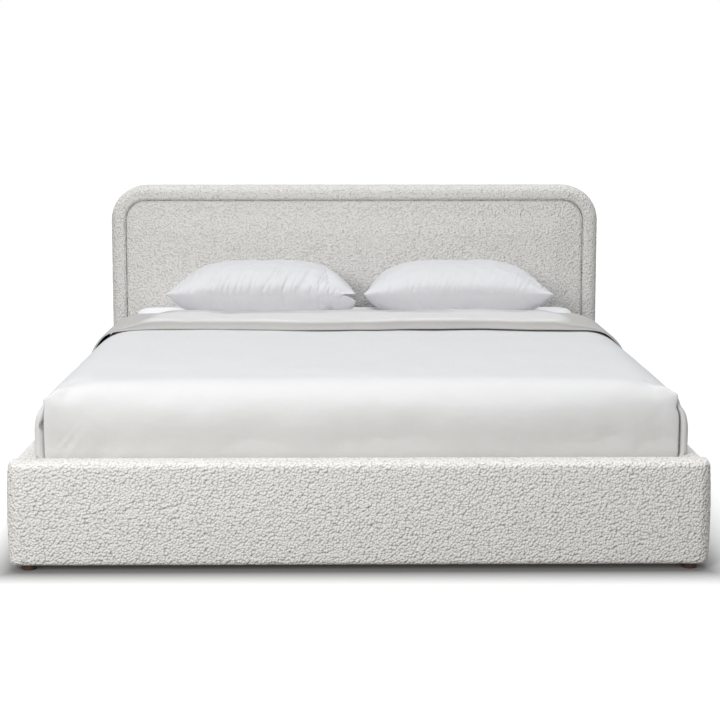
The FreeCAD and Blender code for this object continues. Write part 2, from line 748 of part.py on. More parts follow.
def duvet():
    """A top and three sides over the mattress, tucked in all round, with its head end turned back."""
    across, along = ("-(duvet_half)", "duvet_half"), ("duvet_foot", "duvet_head")
    up = ("duvet_low", "duvet_top")
    top, foot_y = value("duvet_top"), value("duvet_foot")
    crowned = block_body("duvet_crowned", across, along, up)
    fillet(crowned, "min(duvet_side_radius; duvet_drop - hem_radius)",
           lambda b: near(b.ZMin, top) and b.YLength > 1)
    dropped = block_body("duvet_dropped", across, along, up)
    fillet(dropped, "min(duvet_foot_radius; duvet_drop - hem_radius)",
           lambda b: near(b.ZMin, top) and near(b.YMax, foot_y) and b.XLength > 1)

    turned = block_body("duvet_turned_back", ("-(duvet_half + fold_side)", "duvet_half + fold_side"),
                        ("duvet_head - fold_deep", "duvet_head"),
                        ("duvet_low", "duvet_top + fold_thick"))
    fold_top = value("duvet_top + fold_thick")
    fillet(turned, "min(duvet_side_radius; duvet_drop - hem_radius) + fold_thick / 2",
           lambda b: near(b.ZMin, fold_top) and b.YLength > 1)
    fillet(turned, "fold_radius", lambda b: b.YLength < NEAR and b.ZMax > top)

    tuck = box("duvet_tuck_block", ("-(tuck_half)", "tuck_half"), ("tuck_foot", "duvet_head"),
               ("duvet_low - duvet_tuck - duvet_over_rail", "duvet_low"))
    whole = fuse("duvet_whole", [common("duvet_blanket", crowned, dropped), turned, tuck])
    room = soft_block("duvet_room", "sheet_out + duvet_clear", "mattress_base")
    node(cut("duvet_shell", whole, room), "duvet")


def pillow_solid(name, x, shrink):
    """Two frusta, seam to seam, taken in all round by a margin."""
    halves = []
    seam = "pillow_low + pillow_seam_high"
    for level, (z0, z1, inset, seam_first) in {
        "low": (f"pillow_low + {shrink}", seam, "pillow_low_inset", False),
        "top": (seam, f"pillow_low + pillow_thick - {shrink}", "pillow_top_inset", True),
    }.items():
        wedge = doc.addObject("Part::Wedge", f"{name}_{level}")
        wide, deep = f"(pillow_wide / 2 - {shrink})", f"(pillow_deep / 2 - {shrink})"
        full = (f"-{wide}", wide, f"-{deep}", deep)
        small = (f"{inset} - {wide}", f"{wide} - {inset}", f"{inset} - {deep}", f"{deep} - {inset}")
        first, last = (full, small) if seam_first else (small, full)
        for prop, text in zip(("Xmin", "Xmax", "Zmin", "Zmax"), first):
            wedge.setExpression(prop, bind(text))
        for prop, text in zip(("X2min", "X2max", "Z2min", "Z2max"), last):
            wedge.setExpression(prop, bind(text))
        wedge.setExpression("Ymax", bind(f"{z1} - ({z0})"))
        wedge.Ymin = 0
        wedge.Placement.Rotation = Rotation(Vector(1, 0, 0), 90)
        place(wedge, x, "pillow_back - pillow_deep / 2", z0)
        halves.append(wedge)
    return fuse(name, halves)


duvet()
for side_name, x in (("left", "-pillow_left_place"), ("right", "pillow_right_place")):
    case = cut(f"{side_name}_case", pillow_solid(f"{side_name}_case_outside", x, "0"),
               pillow_solid(f"{side_name}_case_inside", x, "case_thick"))
    node(case, f"pillowcase_{side_name}")
    node(pillow_solid(f"{side_name}_filling", x, "(case_thick + case_clear)"),
         f"pillow_{side_name}")


doc.recompute()
os.makedirs("parts", exist_ok=True)
failed = [o.Name for o in doc.Objects if "Invalid" in o.State or "Error" in o.State]
for made in nodes:
    if made.Shape.isNull() or not made.Shape.isValid() or not made.Shape.Solids:
        failed.append(made.Label)
if failed:
    raise SystemExit(f"these objects failed: {sorted(set(failed))}")
for made in nodes:
    made.Shape.exportStep(f"parts/{made.Label}.step")
print(len(nodes), "nodes written")
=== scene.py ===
"""The looks of an upholstered bed: looped fabric, bedding, timber, steel, and a plain studio."""

import json
import math

import bmesh
import bpy
import numpy as np
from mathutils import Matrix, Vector
from mathutils.bvhtree import BVHTree


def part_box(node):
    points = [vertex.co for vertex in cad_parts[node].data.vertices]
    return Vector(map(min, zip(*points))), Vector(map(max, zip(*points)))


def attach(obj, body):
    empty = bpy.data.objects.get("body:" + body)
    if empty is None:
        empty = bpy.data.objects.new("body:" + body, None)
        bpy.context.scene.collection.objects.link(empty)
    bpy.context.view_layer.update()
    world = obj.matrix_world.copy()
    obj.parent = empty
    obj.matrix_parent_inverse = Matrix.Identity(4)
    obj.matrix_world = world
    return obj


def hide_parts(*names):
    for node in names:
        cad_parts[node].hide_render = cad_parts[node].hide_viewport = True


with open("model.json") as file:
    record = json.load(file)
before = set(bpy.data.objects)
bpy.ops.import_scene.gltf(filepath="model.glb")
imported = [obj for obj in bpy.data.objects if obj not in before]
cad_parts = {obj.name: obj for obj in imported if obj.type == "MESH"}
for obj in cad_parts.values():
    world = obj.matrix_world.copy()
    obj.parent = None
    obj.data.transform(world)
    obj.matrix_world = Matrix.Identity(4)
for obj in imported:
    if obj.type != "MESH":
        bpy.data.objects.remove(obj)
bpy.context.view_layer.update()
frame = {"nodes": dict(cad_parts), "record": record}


# ---------------------------------------------------------------- places, from the frame

class Span:
    """The lowest and highest places of a CAD node along each axis."""

    def __init__(self, node):
        self.low, self.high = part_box(node)
        self.middle = (self.low + self.high) / 2
        self.size = self.high - self.low


BOARD = Span("footboard_cover")
RAIL = Span("right_rail_cover")
BORDER = Span("headboard_border")
PAD = Span("headboard_centre_pad")
MATTRESS = Span("mattress")
SHEET = Span("fitted_sheet")
DUVET = Span("duvet")
PILLOW = Span("pillowcase_left")
SEAM = 0.108  # the pillows' seam above the sheet


# ---------------------------------------------------------------- shader maths

class Flow:
    """A socket of a shader tree, on which sums add Math nodes."""

    def __init__(self, recipe, socket):
        self.recipe = recipe
        self.socket = socket

    def math(self, operation, *others, first=None):
        node = self.recipe.tree.nodes.new("ShaderNodeMath")
        node.operation = operation
        values = [self, *others] if first is None else [first, self, *others]
        for socket, value in zip(node.inputs, values):
            self.recipe.feed(socket, value)
        return Flow(self.recipe, node.outputs[0])

    def __add__(self, other):
        return self.math("ADD", other)

    __radd__ = __add__

    def __sub__(self, other):
        return self.math("SUBTRACT", other)

    def __rsub__(self, other):
        return self.math("SUBTRACT", first=other)

    def __mul__(self, other):
        return self.math("MULTIPLY", other)

    __rmul__ = __mul__

    def __truediv__(self, other):
        return self.math("DIVIDE", other)

    def __pow__(self, other):
        return self.math("POWER", other)

    def __abs__(self):
        return self.math("ABSOLUTE")

    def clamped(self):
        return self.recipe.add("ShaderNodeClamp", {}, Value=self)["Result"]


class Made:
    """A node that has been added, whose outputs are read by name."""

    def __init__(self, recipe, node):
        self.recipe = recipe
        self.node = node

    def __getitem__(self, name):
        return Flow(self.recipe, self.node.outputs[name])


class Recipe:
    """A material's node tree, and the short ways of adding to it."""

    def __init__(self, name):
        self.material = bpy.data.materials.new(name)
        self.material.use_nodes = True
        self.tree = self.material.node_tree
        self.shader = self.tree.nodes["Principled BSDF"]
        self.place = self.add("ShaderNodeTexCoord")["Object"]

    def feed(self, socket, value):
        if isinstance(value, Flow):
            self.tree.links.new(value.socket, socket)
        elif value is not None:
            socket.default_value = value

    def add(self, kind, settings=None, **values):
        """Adds a node: its settings first, then the values and links of its sockets."""
        node = self.tree.nodes.new(kind)
        for name, setting in (settings or {}).items():
            if name == "stops":
                self.set_stops(node.color_ramp, setting)
            else:
                setattr(node, name, setting)
        for name, value in values.items():
            key = int(name[1:]) if name[0] == "_" else name.replace("_", " ")
            self.feed(node.inputs[key], value)
        return Made(self, node)

    def set_stops(self, ramp, stops):
        while len(ramp.elements) < len(stops):
            ramp.elements.new(1.0)
        for element, (position, colour) in zip(ramp.elements, stops):
            element.position = position
            element.color = colour

    def stretched(self, x=1.0, y=1.0, z=1.0, turn=(0, 0, 0)):
        """Places measured along turned and stretched axes."""
        return self.add("ShaderNodeMapping", {}, Vector=self.place, Rotation=turn,
                        Scale=(x, y, z))["Vector"]

    def noise(self, size, detail=2.0, roughness=0.5, place=None, distortion=0.0):
        """Cloudy noise from 0 to 1 whose features are about size metres across."""
        return self.add("ShaderNodeTexNoise", {}, Vector=place or self.place, Scale=1 / size,
                        Detail=detail, Roughness=roughness, Distortion=distortion)["Fac"]

    def cells(self, size, place):
        """The distance from the middle of the nearest of many cells, each about size metres."""
        return self.add("ShaderNodeTexVoronoi", {}, Vector=place, Scale=1 / size)["Distance"]

    def blend(self, factor, first, second):
        """A colour between two, by a factor."""
        made = self.add("ShaderNodeMix", {"data_type": "RGBA"}, _0=factor, _6=first, _7=second)
        return Flow(self, made.node.outputs[2])

    def bump(self, height, depth, below=None):
        """A normal that leans with a height from 0 to 1, over a depth in metres."""
        return self.add("ShaderNodeBump", {}, Height=height, Distance=depth, Strength=1.0,
                        Normal=below)["Normal"]

    def finish(self, colour, roughness, normal=None, **fixed):
        self.feed(self.shader.inputs["Base Color"], colour)
        self.feed(self.shader.inputs["Roughness"], roughness)
        self.feed(self.shader.inputs["Normal"], normal)
        for name, value in fixed.items():
            self.shader.inputs[name.replace("_", " ")].default_value = value
        return self.material


def rgb(red, green, blue):
    return (red, green, blue, 1.0)


# ---------------------------------------------------------------- materials

def looped_fabric():
    """Thick curled loops of off-white yarn, about eight millimetres across, with deep dimples that
    are painted darker as shade.
    """
    r = Recipe("looped_fabric")
    drift = r.add("ShaderNodeTexNoise", {}, Vector=r.place, Scale=90.0, Detail=1.0)["Color"]
    shift = r.add("ShaderNodeVectorMath", {"operation": "MULTIPLY_ADD"}, _0=drift,
                  _1=(0.002, 0.002, 0.002), _2=r.place)["Vector"]
    nubs = r.add("ShaderNodeTexVoronoi", {"feature": "SMOOTH_F1"}, Vector=shift,
                 Scale=1 / 0.0078, Smoothness=0.3)["Distance"]
    curls = r.noise(0.0042, 1.0, 0.5, shift)
    fibres = r.noise(0.0014, 2.0, 0.6, shift)
    height = 0.98 - nubs * nubs * 1.35 + (curls - 0.5) * 0.36 + (fibres - 0.5) * 0.14
    # painted shade: the colour darkens where the loops' height is low, in the dimples
    painted_dimple_shade = (height * 1.7 - 0.5).clamped()
    colour = r.blend(painted_dimple_shade, rgb(0.70, 0.690, 0.668), rgb(0.805, 0.797, 0.777))
    normal = r.bump(height, 0.0044)
    return r.finish(colour, 0.95, normal, Specular_IOR_Level=0.15)


def smooth_cotton(name, shade, low_shade, hem=None):
    """A fine close-woven cloth with faint creases, and another colour where it hangs lower: a
    painted shade by height.
    """
    r = Recipe(name)
    warp, weft = [r.add("ShaderNodeTexWave", {"bands_direction": way}, Vector=r.place,
                        Scale=620.0, Distortion=0.6, Detail=1.0)["Fac"] for way in ("X", "Y")]
    soft = r.noise(0.085, 3.0, 0.55, r.stretched(1.0, 0.55, 1.0, (0, 0, 0.4)))
    slubs = r.noise(0.01, 2.0, 0.5, r.stretched(0.25, 3.0, 3.0))
    colour = r.blend(soft, rgb(*low_shade), rgb(*shade))
    colour = r.blend(slubs * 0.12, colour, rgb(*low_shade))
    # hem, when given, is a painted shade by height: below its start, over its spread, the cloth
    # takes its low colour
    if hem:
        height = r.add("ShaderNodeSeparateXYZ", {}, _0=r.place)["Z"]
        start, spread, painted_low_colour = hem
        painted_low_shade = ((start - height) / spread + (soft - 0.5) * 0.5).clamped()
        colour = r.blend(painted_low_shade, colour, rgb(*painted_low_colour))
    wrinkles = r.bump(soft, 0.0036)
    normal = r.bump(warp * 0.5 + weft * 0.5, 0.00008, wrinkles)
    return r.finish(colour, 0.62 + 0.1 * slubs, normal, Sheen_Weight=0.08, Sheen_Roughness=0.4,
                    Specular_IOR_Level=0.35)


def ticking():
    """Knitted mattress cover with a faint raised stripe."""
    r = Recipe("ticking")
    stripe = r.add("ShaderNodeTexWave", {"bands_direction": "X"}, Vector=r.place, Scale=26.0)["Fac"]
    knit = r.noise(0.0018, 1.0)
    colour = r.blend(stripe * 0.6 + knit * 0.3, rgb(0.74, 0.74, 0.73), rgb(0.84, 0.84, 0.84))
    return r.finish(colour, 0.85, r.bump(knit * 0.6 + stripe * 0.4, 0.0008), Sheen_Weight=0.1)


def lining_cloth():
    """The plain dark-flecked cloth that closes the back of the headboard."""
    r = Recipe("lining_cloth")
    weave = r.cells(0.0022, r.stretched(1.0, 1.0, 2.2))
    flecks = r.noise(0.02, 3.0)
    colour = r.blend(weave, rgb(0.66, 0.64, 0.60), rgb(0.42, 0.40, 0.37))
    colour = r.blend(flecks * 0.4, colour, rgb(0.56, 0.54, 0.50))
    return r.finish(colour, 0.92, r.bump(weave, 0.0008), Sheen_Weight=0.06)


def grained_wood(name, light, dark, roughness, ring, along, coat=0.0):
    """Wood whose grain runs along the axis with the smallest stretch."""
    r = Recipe(name)
    place = r.stretched(*along)
    rings = r.noise(ring, 4.0, 0.6, place, 0.8)
    pores = r.noise(ring / 14, 2.0, 0.5, r.stretched(*[a * a if a < 1 else a for a in along]))
    grain = (rings * 1.6 - 0.3).clamped()
    colour = r.blend(grain, rgb(*dark), rgb(*light))
    colour = r.blend((pores * 1.4 - 0.6).clamped(), colour, rgb(*[c * 0.7 for c in dark]))
    return r.finish(colour, roughness + 0.12 * pores, r.bump(pores, 0.0004), Coat_Weight=coat,
                    Coat_Roughness=0.25)


def plywood():
    """Pale veneer faces over thin plies."""
    r = Recipe("plywood")
    rings = r.noise(0.05, 4.0, 0.6, r.stretched(0.12, 1.0, 1.0), 1.2)
    plies = r.add("ShaderNodeTexWave", {"bands_direction": "Z"}, Vector=r.place, Scale=90.0)["Fac"]
    colour = r.blend((rings * 1.5 - 0.25).clamped(), rgb(0.50, 0.36, 0.21), rgb(0.74, 0.60, 0.42))
    colour = r.blend(plies * 0.15, colour, rgb(0.40, 0.28, 0.16))
    return r.finish(colour, 0.72, r.bump(rings, 0.0003))


def powder_coat():
    """Fine-textured black paint, a little worn."""
    r = Recipe("powder_coat")
    grit = r.noise(0.0009, 1.0)
    wear = r.noise(0.04, 4.0, 0.65)
    colour = r.blend((wear * 3 - 1.9).clamped(), rgb(0.028, 0.028, 0.03), rgb(0.09, 0.088, 0.085))
    return r.finish(colour, 0.45 + 0.15 * grit, r.bump(grit, 0.00015), Specular_IOR_Level=0.5)


def zinc_plate():
    """Bright plated steel with a faint bluish cloud."""
    r = Recipe("zinc_plate")
    cloud = r.noise(0.006, 3.0)
    colour = r.blend(cloud, rgb(0.55, 0.56, 0.58), rgb(0.72, 0.72, 0.70))
    return r.finish(colour, 0.28 + 0.2 * cloud, r.bump(cloud, 0.0001), Metallic=1.0)


def moulded_plastic():
    r = Recipe("moulded_plastic")
    spark = r.noise(0.0007, 1.0)
    colour = r.blend(spark, rgb(0.018, 0.018, 0.019), rgb(0.04, 0.04, 0.042))
    return r.finish(colour, 0.5 + 0.1 * spark, r.bump(spark, 0.0001))


def woven_strap():
    r = Recipe("woven_strap")
    ribs = r.add("ShaderNodeTexWave", {"bands_direction": "Y"}, Vector=r.place, Scale=180.0)["Fac"]
    threads = r.noise(0.0012, 1.0)
    colour = r.blend(ribs * 0.6 + threads * 0.4, rgb(0.05, 0.05, 0.055), rgb(0.15, 0.15, 0.16))
    return r.finish(colour, 0.8, r.bump(ribs, 0.0005))


def studio_white():
    """White paper, with a painted shadow beside and under whatever stands on it."""
    r = Recipe("studio_white")
    parts = r.add("ShaderNodeSeparateXYZ", {}, _0=r.place)
    beside = (abs(parts["X"]) - BOARD.high.x).math("MAXIMUM", 0.0)
    before = (abs(parts["Y"]) + BOARD.low.y).math("MAXIMUM", 0.0)
    away = (beside * beside + before * before) ** 0.5
    # painted shadow: 1 at the bed's sides and foot, fading to nothing 0.28 m away; it darkens the
    # floor's colour
    painted_shadow = (1 - away / 0.28).clamped()
    faint = r.noise(0.8, 1.0)
    colour = r.blend(faint, rgb(0.955, 0.955, 0.955), rgb(0.965, 0.965, 0.965))
    colour = r.blend(painted_shadow * painted_shadow, colour, rgb(0.29, 0.29, 0.29))
    # an even faint glow keeps the floor white, except where the painted shadow lies
    lit = r.blend(painted_shadow, rgb(1.0, 1.0, 1.0), rgb(0.0, 0.0, 0.0))
    r.feed(r.shader.inputs["Emission Color"], lit)
    return r.finish(colour, 0.9, None, Specular_IOR_Level=0.1, Emission_Strength=0.16)


MATERIALS = {
    "boucle": looped_fabric(),
    "plywood": plywood(),
    "timber": grained_wood("softwood", (0.76, 0.60, 0.40), (0.55, 0.38, 0.22), 0.7, 0.03,
                           (1.0, 1.0, 0.05)),
    "birch_slat": grained_wood("birch", (0.84, 0.72, 0.54), (0.66, 0.50, 0.32), 0.5, 0.02,
                               (0.05, 1.0, 1.0)),
    "back_cloth": lining_cloth(),
    "black_steel": powder_coat(),
    "zinc_steel": zinc_plate(),
    "black_plastic": moulded_plastic(),
    "webbing": woven_strap(),
    "dark_wood": grained_wood("dark_wood", (0.115, 0.052, 0.032), (0.035, 0.014, 0.009), 0.35,
                              0.008, (1.0, 1.0, 0.12), 0.3),
    "ticking": ticking(),
    "white_cotton": smooth_cotton("white_cotton", (0.90, 0.906, 0.935), (0.87, 0.876, 0.905)),
    # the duvet's sides and foot take a darker, warmer colour low down: partly the cloth's tint,
    # partly painted shade
    "duvet_cotton": smooth_cotton("duvet_sateen", (0.685, 0.689, 0.703), (0.66, 0.66, 0.667),
                                  hem=(0.51, 0.16, (0.612, 0.605, 0.592))),
}
# The turned-back end's cloth: like the duvet's, with a painted shade, much darker, over the front
# of its hem and down its ends
FOLD_CLOTH = smooth_cotton("duvet_fold_painted_shade", (0.675, 0.675, 0.68), (0.64, 0.635, 0.63),
                       hem=(DUVET.high.z - 0.004, 0.010, (0.475, 0.467, 0.457)))
# painted light and shade: the pillows' tops take a darker colour and their faces below the seam a
# lighter one
PILLOW_COTTON = smooth_cotton("pillow_cotton", (0.665, 0.667, 0.685), (0.645, 0.647, 0.665),
                              hem=(PILLOW.low.z + SEAM + 0.004, 0.020, (0.705, 0.705, 0.73)))


# ---------------------------------------------------------------- mesh tools

def lattice_noise(points, size, seed):
    """Smooth noise from -1 to 1 at each point, with features about size metres across."""
    table = np.random.default_rng(seed).uniform(-1, 1, (32, 32, 32))
    cell = np.floor(points / size).astype(int)
    part = points / size - cell
    part = part * part * (3 - 2 * part)
    total = np.zeros(len(points))
    for corner in np.ndindex(2, 2, 2):
        weight = np.prod(np.where(corner, part, 1 - part), axis=1)
        x, y, z = ((cell + corner) % 32).T
        total += weight * table[x, y, z]
    return total


def ease(low, high, value):
    """A smooth step from 0 at low to 1 at high, level beyond them. Low may be the larger."""
    t = np.clip((value - low) / (high - low), 0, 1)
    return t * t * (3 - 2 * t)


def bell(distance, width):
    """1 where a distance is nought, and next to nothing past twice the width."""
    return np.exp(-(distance / width) ** 2)


def spots(x, y, z):
    """Points from three rows of coordinates, of which y or z may be a single number."""
    return np.stack(np.broadcast_arrays(x, y, z), axis=1)


def read_points(mesh, what="co", of="vertices"):
    source = getattr(mesh, of)
    points = np.empty(len(source) * 3)
    source.foreach_get(what, points)
    return points.reshape(-1, 3)


def points_and_normals(mesh):
    return read_points(mesh), read_points(mesh, "vector", "vertex_normals")


def write_points(mesh, points):
    mesh.vertices.foreach_set("co", np.asarray(points, float).ravel())
    mesh.update()


def piece(name, mesh, material, body):
    """A finished object that rides on a body and takes a material slot."""
    made = bpy.data.objects.new(name, mesh)
    bpy.context.scene.collection.objects.link(made)
    mesh.materials.clear()
    mesh.materials.append(material)
    mesh.shade_smooth()
    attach(made, body)
    return made


def grid_mesh(name, points, close_rows=False):
    """A mesh of quads over rows and columns of points."""
    rows, columns = points.shape[:2]
    index = np.arange(rows * columns).reshape(rows, columns)
    if close_rows:
        index = np.vstack([index, index[:1]])
    corners = np.stack([index[:-1, :-1], index[:-1, 1:], index[1:, 1:], index[1:, :-1]], axis=-1)
    mesh = bpy.data.meshes.new(name)
    mesh.from_pydata(points.reshape(-1, 3).tolist(), [], corners.reshape(-1, 4).tolist())
    return mesh


def closed_mesh(mesh):
    """Joins doubled points, fills open loops, and turns every face outwards."""
    work = bmesh.new()
    work.from_mesh(mesh)
    bmesh.ops.remove_doubles(work, verts=work.verts, dist=0.00002)
    bmesh.ops.holes_fill(work, edges=[e for e in work.edges if e.is_boundary])
    bmesh.ops.recalc_face_normals(work, faces=work.faces)
    work.to_mesh(mesh)
    work.free()
    return mesh


def with_modifiers(mesh, *recipes):
    """The mesh after modifiers, each given as its type and its settings."""
    holder = bpy.data.objects.new("holder", mesh)
    bpy.context.scene.collection.objects.link(holder)
    for kind, settings in recipes:
        modifier = holder.modifiers.new(kind.lower(), kind)
        for name, value in settings.items():
            setattr(modifier, name, value)
    ready = holder.evaluated_get(bpy.context.evaluated_depsgraph_get())
    made = bpy.data.meshes.new_from_object(ready)
    made.name = mesh.name
    bpy.data.objects.remove(holder)
    return made


SMOOTHED = ("SUBSURF", {"levels": 1, "render_levels": 1})


def remeshed(mesh, grid):
    """The mesh made again from even squares, each about grid metres."""
    return with_modifiers(mesh, ("REMESH", {"mode": "VOXEL", "voxel_size": grid}))


def block(low, high, *bevels):
    """A box whose edges are rounded in turn: each bevel is a radius and a test of an edge."""
    work = bmesh.new()
    bmesh.ops.create_cube(work, size=1.0)
    middle, size = (Vector(low) + Vector(high)) / 2, Vector(high) - Vector(low)
    for v in work.verts:
        v.co = middle + Vector(c * s for c, s in zip(v.co, size))
    for radius, test in bevels:
        edges = [e for e in work.edges if test(*(v.co for v in e.verts))]
        bmesh.ops.bevel(work, geom=edges, offset=radius, segments=8, profile=0.5,
                        affect="EDGES", clamp_overlap=True)
    mesh = bpy.data.meshes.new("block")
    work.to_mesh(mesh)
    work.free()
    return mesh


def upright(a, b):
    """Whether an edge runs up."""
    return abs(a.z - b.z) > 0.02


def both(a, b, axis, place):
    """Whether both ends of an edge are at a place along an axis."""
    return abs(a[axis] - place) < 1e-5 and abs(b[axis] - place) < 1e-5


def looped_surface(mesh, seed):
    """Lifts a fine mesh into the uneven lumps of a looped fabric."""
    points, normals = points_and_normals(mesh)
    lumps = lattice_noise(points, LOOP_SIZE, seed)
    swells = lattice_noise(points, 0.08, seed + 1)
    lift = LOOP_DEPTH * (lumps + 0.5 * swells)
    write_points(mesh, points + normals * lift[:, None])
    return mesh


# ---------------------------------------------------------------- upholstery

LOOP_SIZE = 0.0098  # how far apart the fabric's lumps are
LOOP_DEPTH = 0.0006
LOOP_GRID = 0.0048  # the spacing of the upholstery's mesh
RIM_GRID = 0.0052   # and of the headboard's border
PAD_GRID = 0.0068   # and of its centre
CROWN = 0.006       # how far foam stands proud at the middle of a face


def crowned(mesh, low, high, amount=CROWN):
    """Pushes the faces of a block out a little at their middles, as foam does."""
    points, normals = points_and_normals(mesh)
    low, high = np.array(low), np.array(high)
    share = np.clip((points - low) / (high - low), 0, 1)
    swell = np.sin(np.pi * share) ** 0.6
    flat = np.abs(normals) ** 4
    along, up = swell[:, 1], swell[:, 2]
    push = flat * np.stack([up, up, along], axis=1)
    write_points(mesh, points + np.sign(normals) * push * amount)
    return mesh


def footboard():
    low, high = BOARD.low, BOARD.high
    mesh = block(low, high,
                 (0.038, lambda a, b: upright(a, b) and both(a, b, 1, low.y)),
                 (0.008, lambda a, b: upright(a, b) and both(a, b, 1, high.y)),
                 (0.030, lambda a, b: both(a, b, 2, high.z)),
                 (0.024, lambda a, b: both(a, b, 2, low.z)))
    mesh = remeshed(mesh, LOOP_GRID)
    crowned(mesh, low, high)
    looped_surface(mesh, seed=5)
    made = piece("footboard_upholstery", mesh, MATERIALS["boucle"], "frame")
    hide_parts("footboard_cover")


def side_rail(side_name, seed):
    span = Span(f"{side_name}_rail_cover")
    low, high = span.low, span.high
    mesh = block(low, high,
                 (0.030, lambda a, b: both(a, b, 2, high.z) and abs(a.y - b.y) > 1),
                 (0.012, lambda a, b: both(a, b, 2, low.z) and abs(a.y - b.y) > 1),
                 (0.006, lambda a, b: both(a, b, 1, low.y) or both(a, b, 1, high.y)))
    mesh = remeshed(mesh, LOOP_GRID)
    crowned(mesh, low, high, CROWN * 0.8)
    looped_surface(mesh, seed=seed)
    made = piece(f"{side_name}_rail_upholstery", mesh, MATERIALS["boucle"], "frame")
    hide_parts(f"{side_name}_rail_cover")


HEAD_RADIUS = 0.155                      # the headboard's outer top corners
RIM = PAD.low.x - BORDER.low.x           # the border's width seen from the front


def arch_path(half, top, low, radius, inset, spacing):
    """Points up one side of the headboard's outline, over its top and down, moved inwards."""
    turn = max(2, round(math.pi / 2 * radius / spacing))
    rise = max(2, round((top - radius - low) / spacing))
    across = max(2, round(2 * (half - radius) / spacing))
    centre_x, centre_z, r = half - radius, top - radius, radius - inset
    points = [(inset - half, z) for z in np.linspace(low, centre_z, rise, endpoint=False)]
    for a in np.linspace(math.pi, math.pi / 2, turn, endpoint=False):
        points.append((-centre_x + r * math.cos(a), centre_z + r * math.sin(a)))
    points += [(x, top - inset) for x in np.linspace(-centre_x, centre_x, across, endpoint=False)]
    for a in np.linspace(math.pi / 2, 0, turn, endpoint=False):
        points.append((centre_x + r * math.cos(a), centre_z + r * math.sin(a)))
    points += [(half - inset, z) for z in np.linspace(centre_z, low, rise)]
    return np.array(points)


def rounded_section(corners, spacing):
    """A closed outline of (inset, depth) points round a box whose corners each have a radius."""
    outline = []
    count = len(corners)
    for i, (x, y, radius) in enumerate(corners):
        here = Vector((x, y))
        before = (Vector(corners[i - 1][:2]) - here).normalized()
        after = (Vector(corners[(i + 1) % count][:2]) - here).normalized()
        centre = here + (before + after) * radius
        steps = max(3, round(math.pi / 2 * radius / spacing))
        for k in range(steps + 1):
            a = math.pi / 2 * k / steps
            outline.append(centre - after * radius * math.cos(a) - before * radius * math.sin(a))
    points = []
    for i, start in enumerate(outline):
        end = outline[(i + 1) % len(outline)]
        steps = max(1, round((end - start).length / spacing))
        points += [start.lerp(end, k / steps) for k in range(steps)]
    return np.array([tuple(p) for p in points])


def headboard_border():
    """The raised rim: one padded roll that runs up both sides and over the top."""
    half, top, low = BORDER.high.x, BORDER.high.z, BORDER.low.z
    depth = BORDER.size.y
    section = rounded_section([(0, 0, 0.034), (RIM, 0, 0.015), (RIM, depth, 0.006),
                               (0, depth, 0.022)], RIM_GRID)
    rings = []
    for inset, back in section:
        path = arch_path(half, top, low, HEAD_RADIUS, inset, RIM_GRID)
        rings.append(np.stack([path[:, 0], np.full(len(path), BORDER.low.y + back), path[:, 1]], 1))
    mesh = grid_mesh("border", np.array(rings), close_rows=True)
    closed_mesh(mesh)
    points, normals = points_and_normals(mesh)
    front = np.clip(-normals[:, 1], 0, 1) ** 2
    points[:, 1] -= 0.004 * front
    write_points(mesh, points)
    looped_surface(mesh, seed=17)
    made = piece("headboard_rim", mesh, MATERIALS["boucle"], "frame")
    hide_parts("headboard_border")


def headboard_pad():
    """The puffed centre, whose rounded edge sinks into the groove beside the rim."""
    low, high = PAD.low, PAD.high
    corner = HEAD_RADIUS - RIM
    mesh = block(low, high,
                 (corner, lambda a, b: abs(a.y - b.y) > 0.02 and both(a, b, 2, high.z)),
                 (0.018, lambda a, b: both(a, b, 1, low.y) and max(a.z, b.z) > low.z + 0.01))
    mesh = remeshed(mesh, PAD_GRID)
    points = read_points(mesh)
    inside = np.minimum(points[:, 0] - low.x, high.x - points[:, 0])
    inside = np.minimum(inside, high.z - points[:, 2])
    face = ease(low.y + 0.030, low.y, points[:, 1])
    points[:, 1] -= face * (0.010 * ease(0.02, 0.16, inside))
    write_points(mesh, points)
    looped_surface(mesh, seed=23)
    made = piece("headboard_pad", mesh, MATERIALS["boucle"], "frame")
    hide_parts("headboard_centre_pad")


# ---------------------------------------------------------------- mattress and sheet

MATTRESS_CORNER = 0.10
MATTRESS_GRID = 0.012
SHEET_GRID = 0.016


def mattress_block(grow, low, top_radius):
    """The mattress's outline grown all round, down to a height."""
    lowest = Vector((MATTRESS.low.x - grow, MATTRESS.low.y - grow, low))
    highest = MATTRESS.high + Vector((grow, grow, grow))
    return block(lowest, highest,
                 (MATTRESS_CORNER + grow, upright),
                 (top_radius + grow, lambda a, b: both(a, b, 2, highest.z)))


def squared_head(points):
    """Fills out the top edge at the head, where the mattress stands against the headboard."""
    y, z = points[:, 1], points[:, 2]
    share = ease(MATTRESS.high.y - 0.11, MATTRESS.high.y - 0.05, y)
    top = MATTRESS.high.z + (SHEET.high.z - MATTRESS.high.z) * (z > MATTRESS.high.z)
    high = ease(MATTRESS.high.z - 0.09, MATTRESS.high.z - 0.03, z)
    points[:, 2] += 0.75 * share * high * np.maximum(top - z, 0)
    return points


def mattress():
    """A deep mattress with tape-edged seams and a quilted top."""
    mesh = mattress_block(-0.002, MATTRESS.low.z + 0.001, 0.088)
    mesh = remeshed(mesh, MATTRESS_GRID)
    points, normals = points_and_normals(mesh)
    diamonds = np.abs(np.sin(math.pi * (points[:, 0] + points[:, 1]) / 0.11)
                      * np.sin(math.pi * (points[:, 0] - points[:, 1]) / 0.11)) ** 0.5
    lift = 0.006 * (diamonds - 1) * ease(0.5, 0.9, normals[:, 2])
    band = np.abs(points[:, 2] - MATTRESS.middle.z - 0.01)
    lift -= 0.006 * bell(band, 0.012)
    write_points(mesh, squared_head(points + normals * lift[:, None]))
    made = piece("mattress_block", mesh, MATERIALS["ticking"], "mattress")
    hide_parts("mattress")


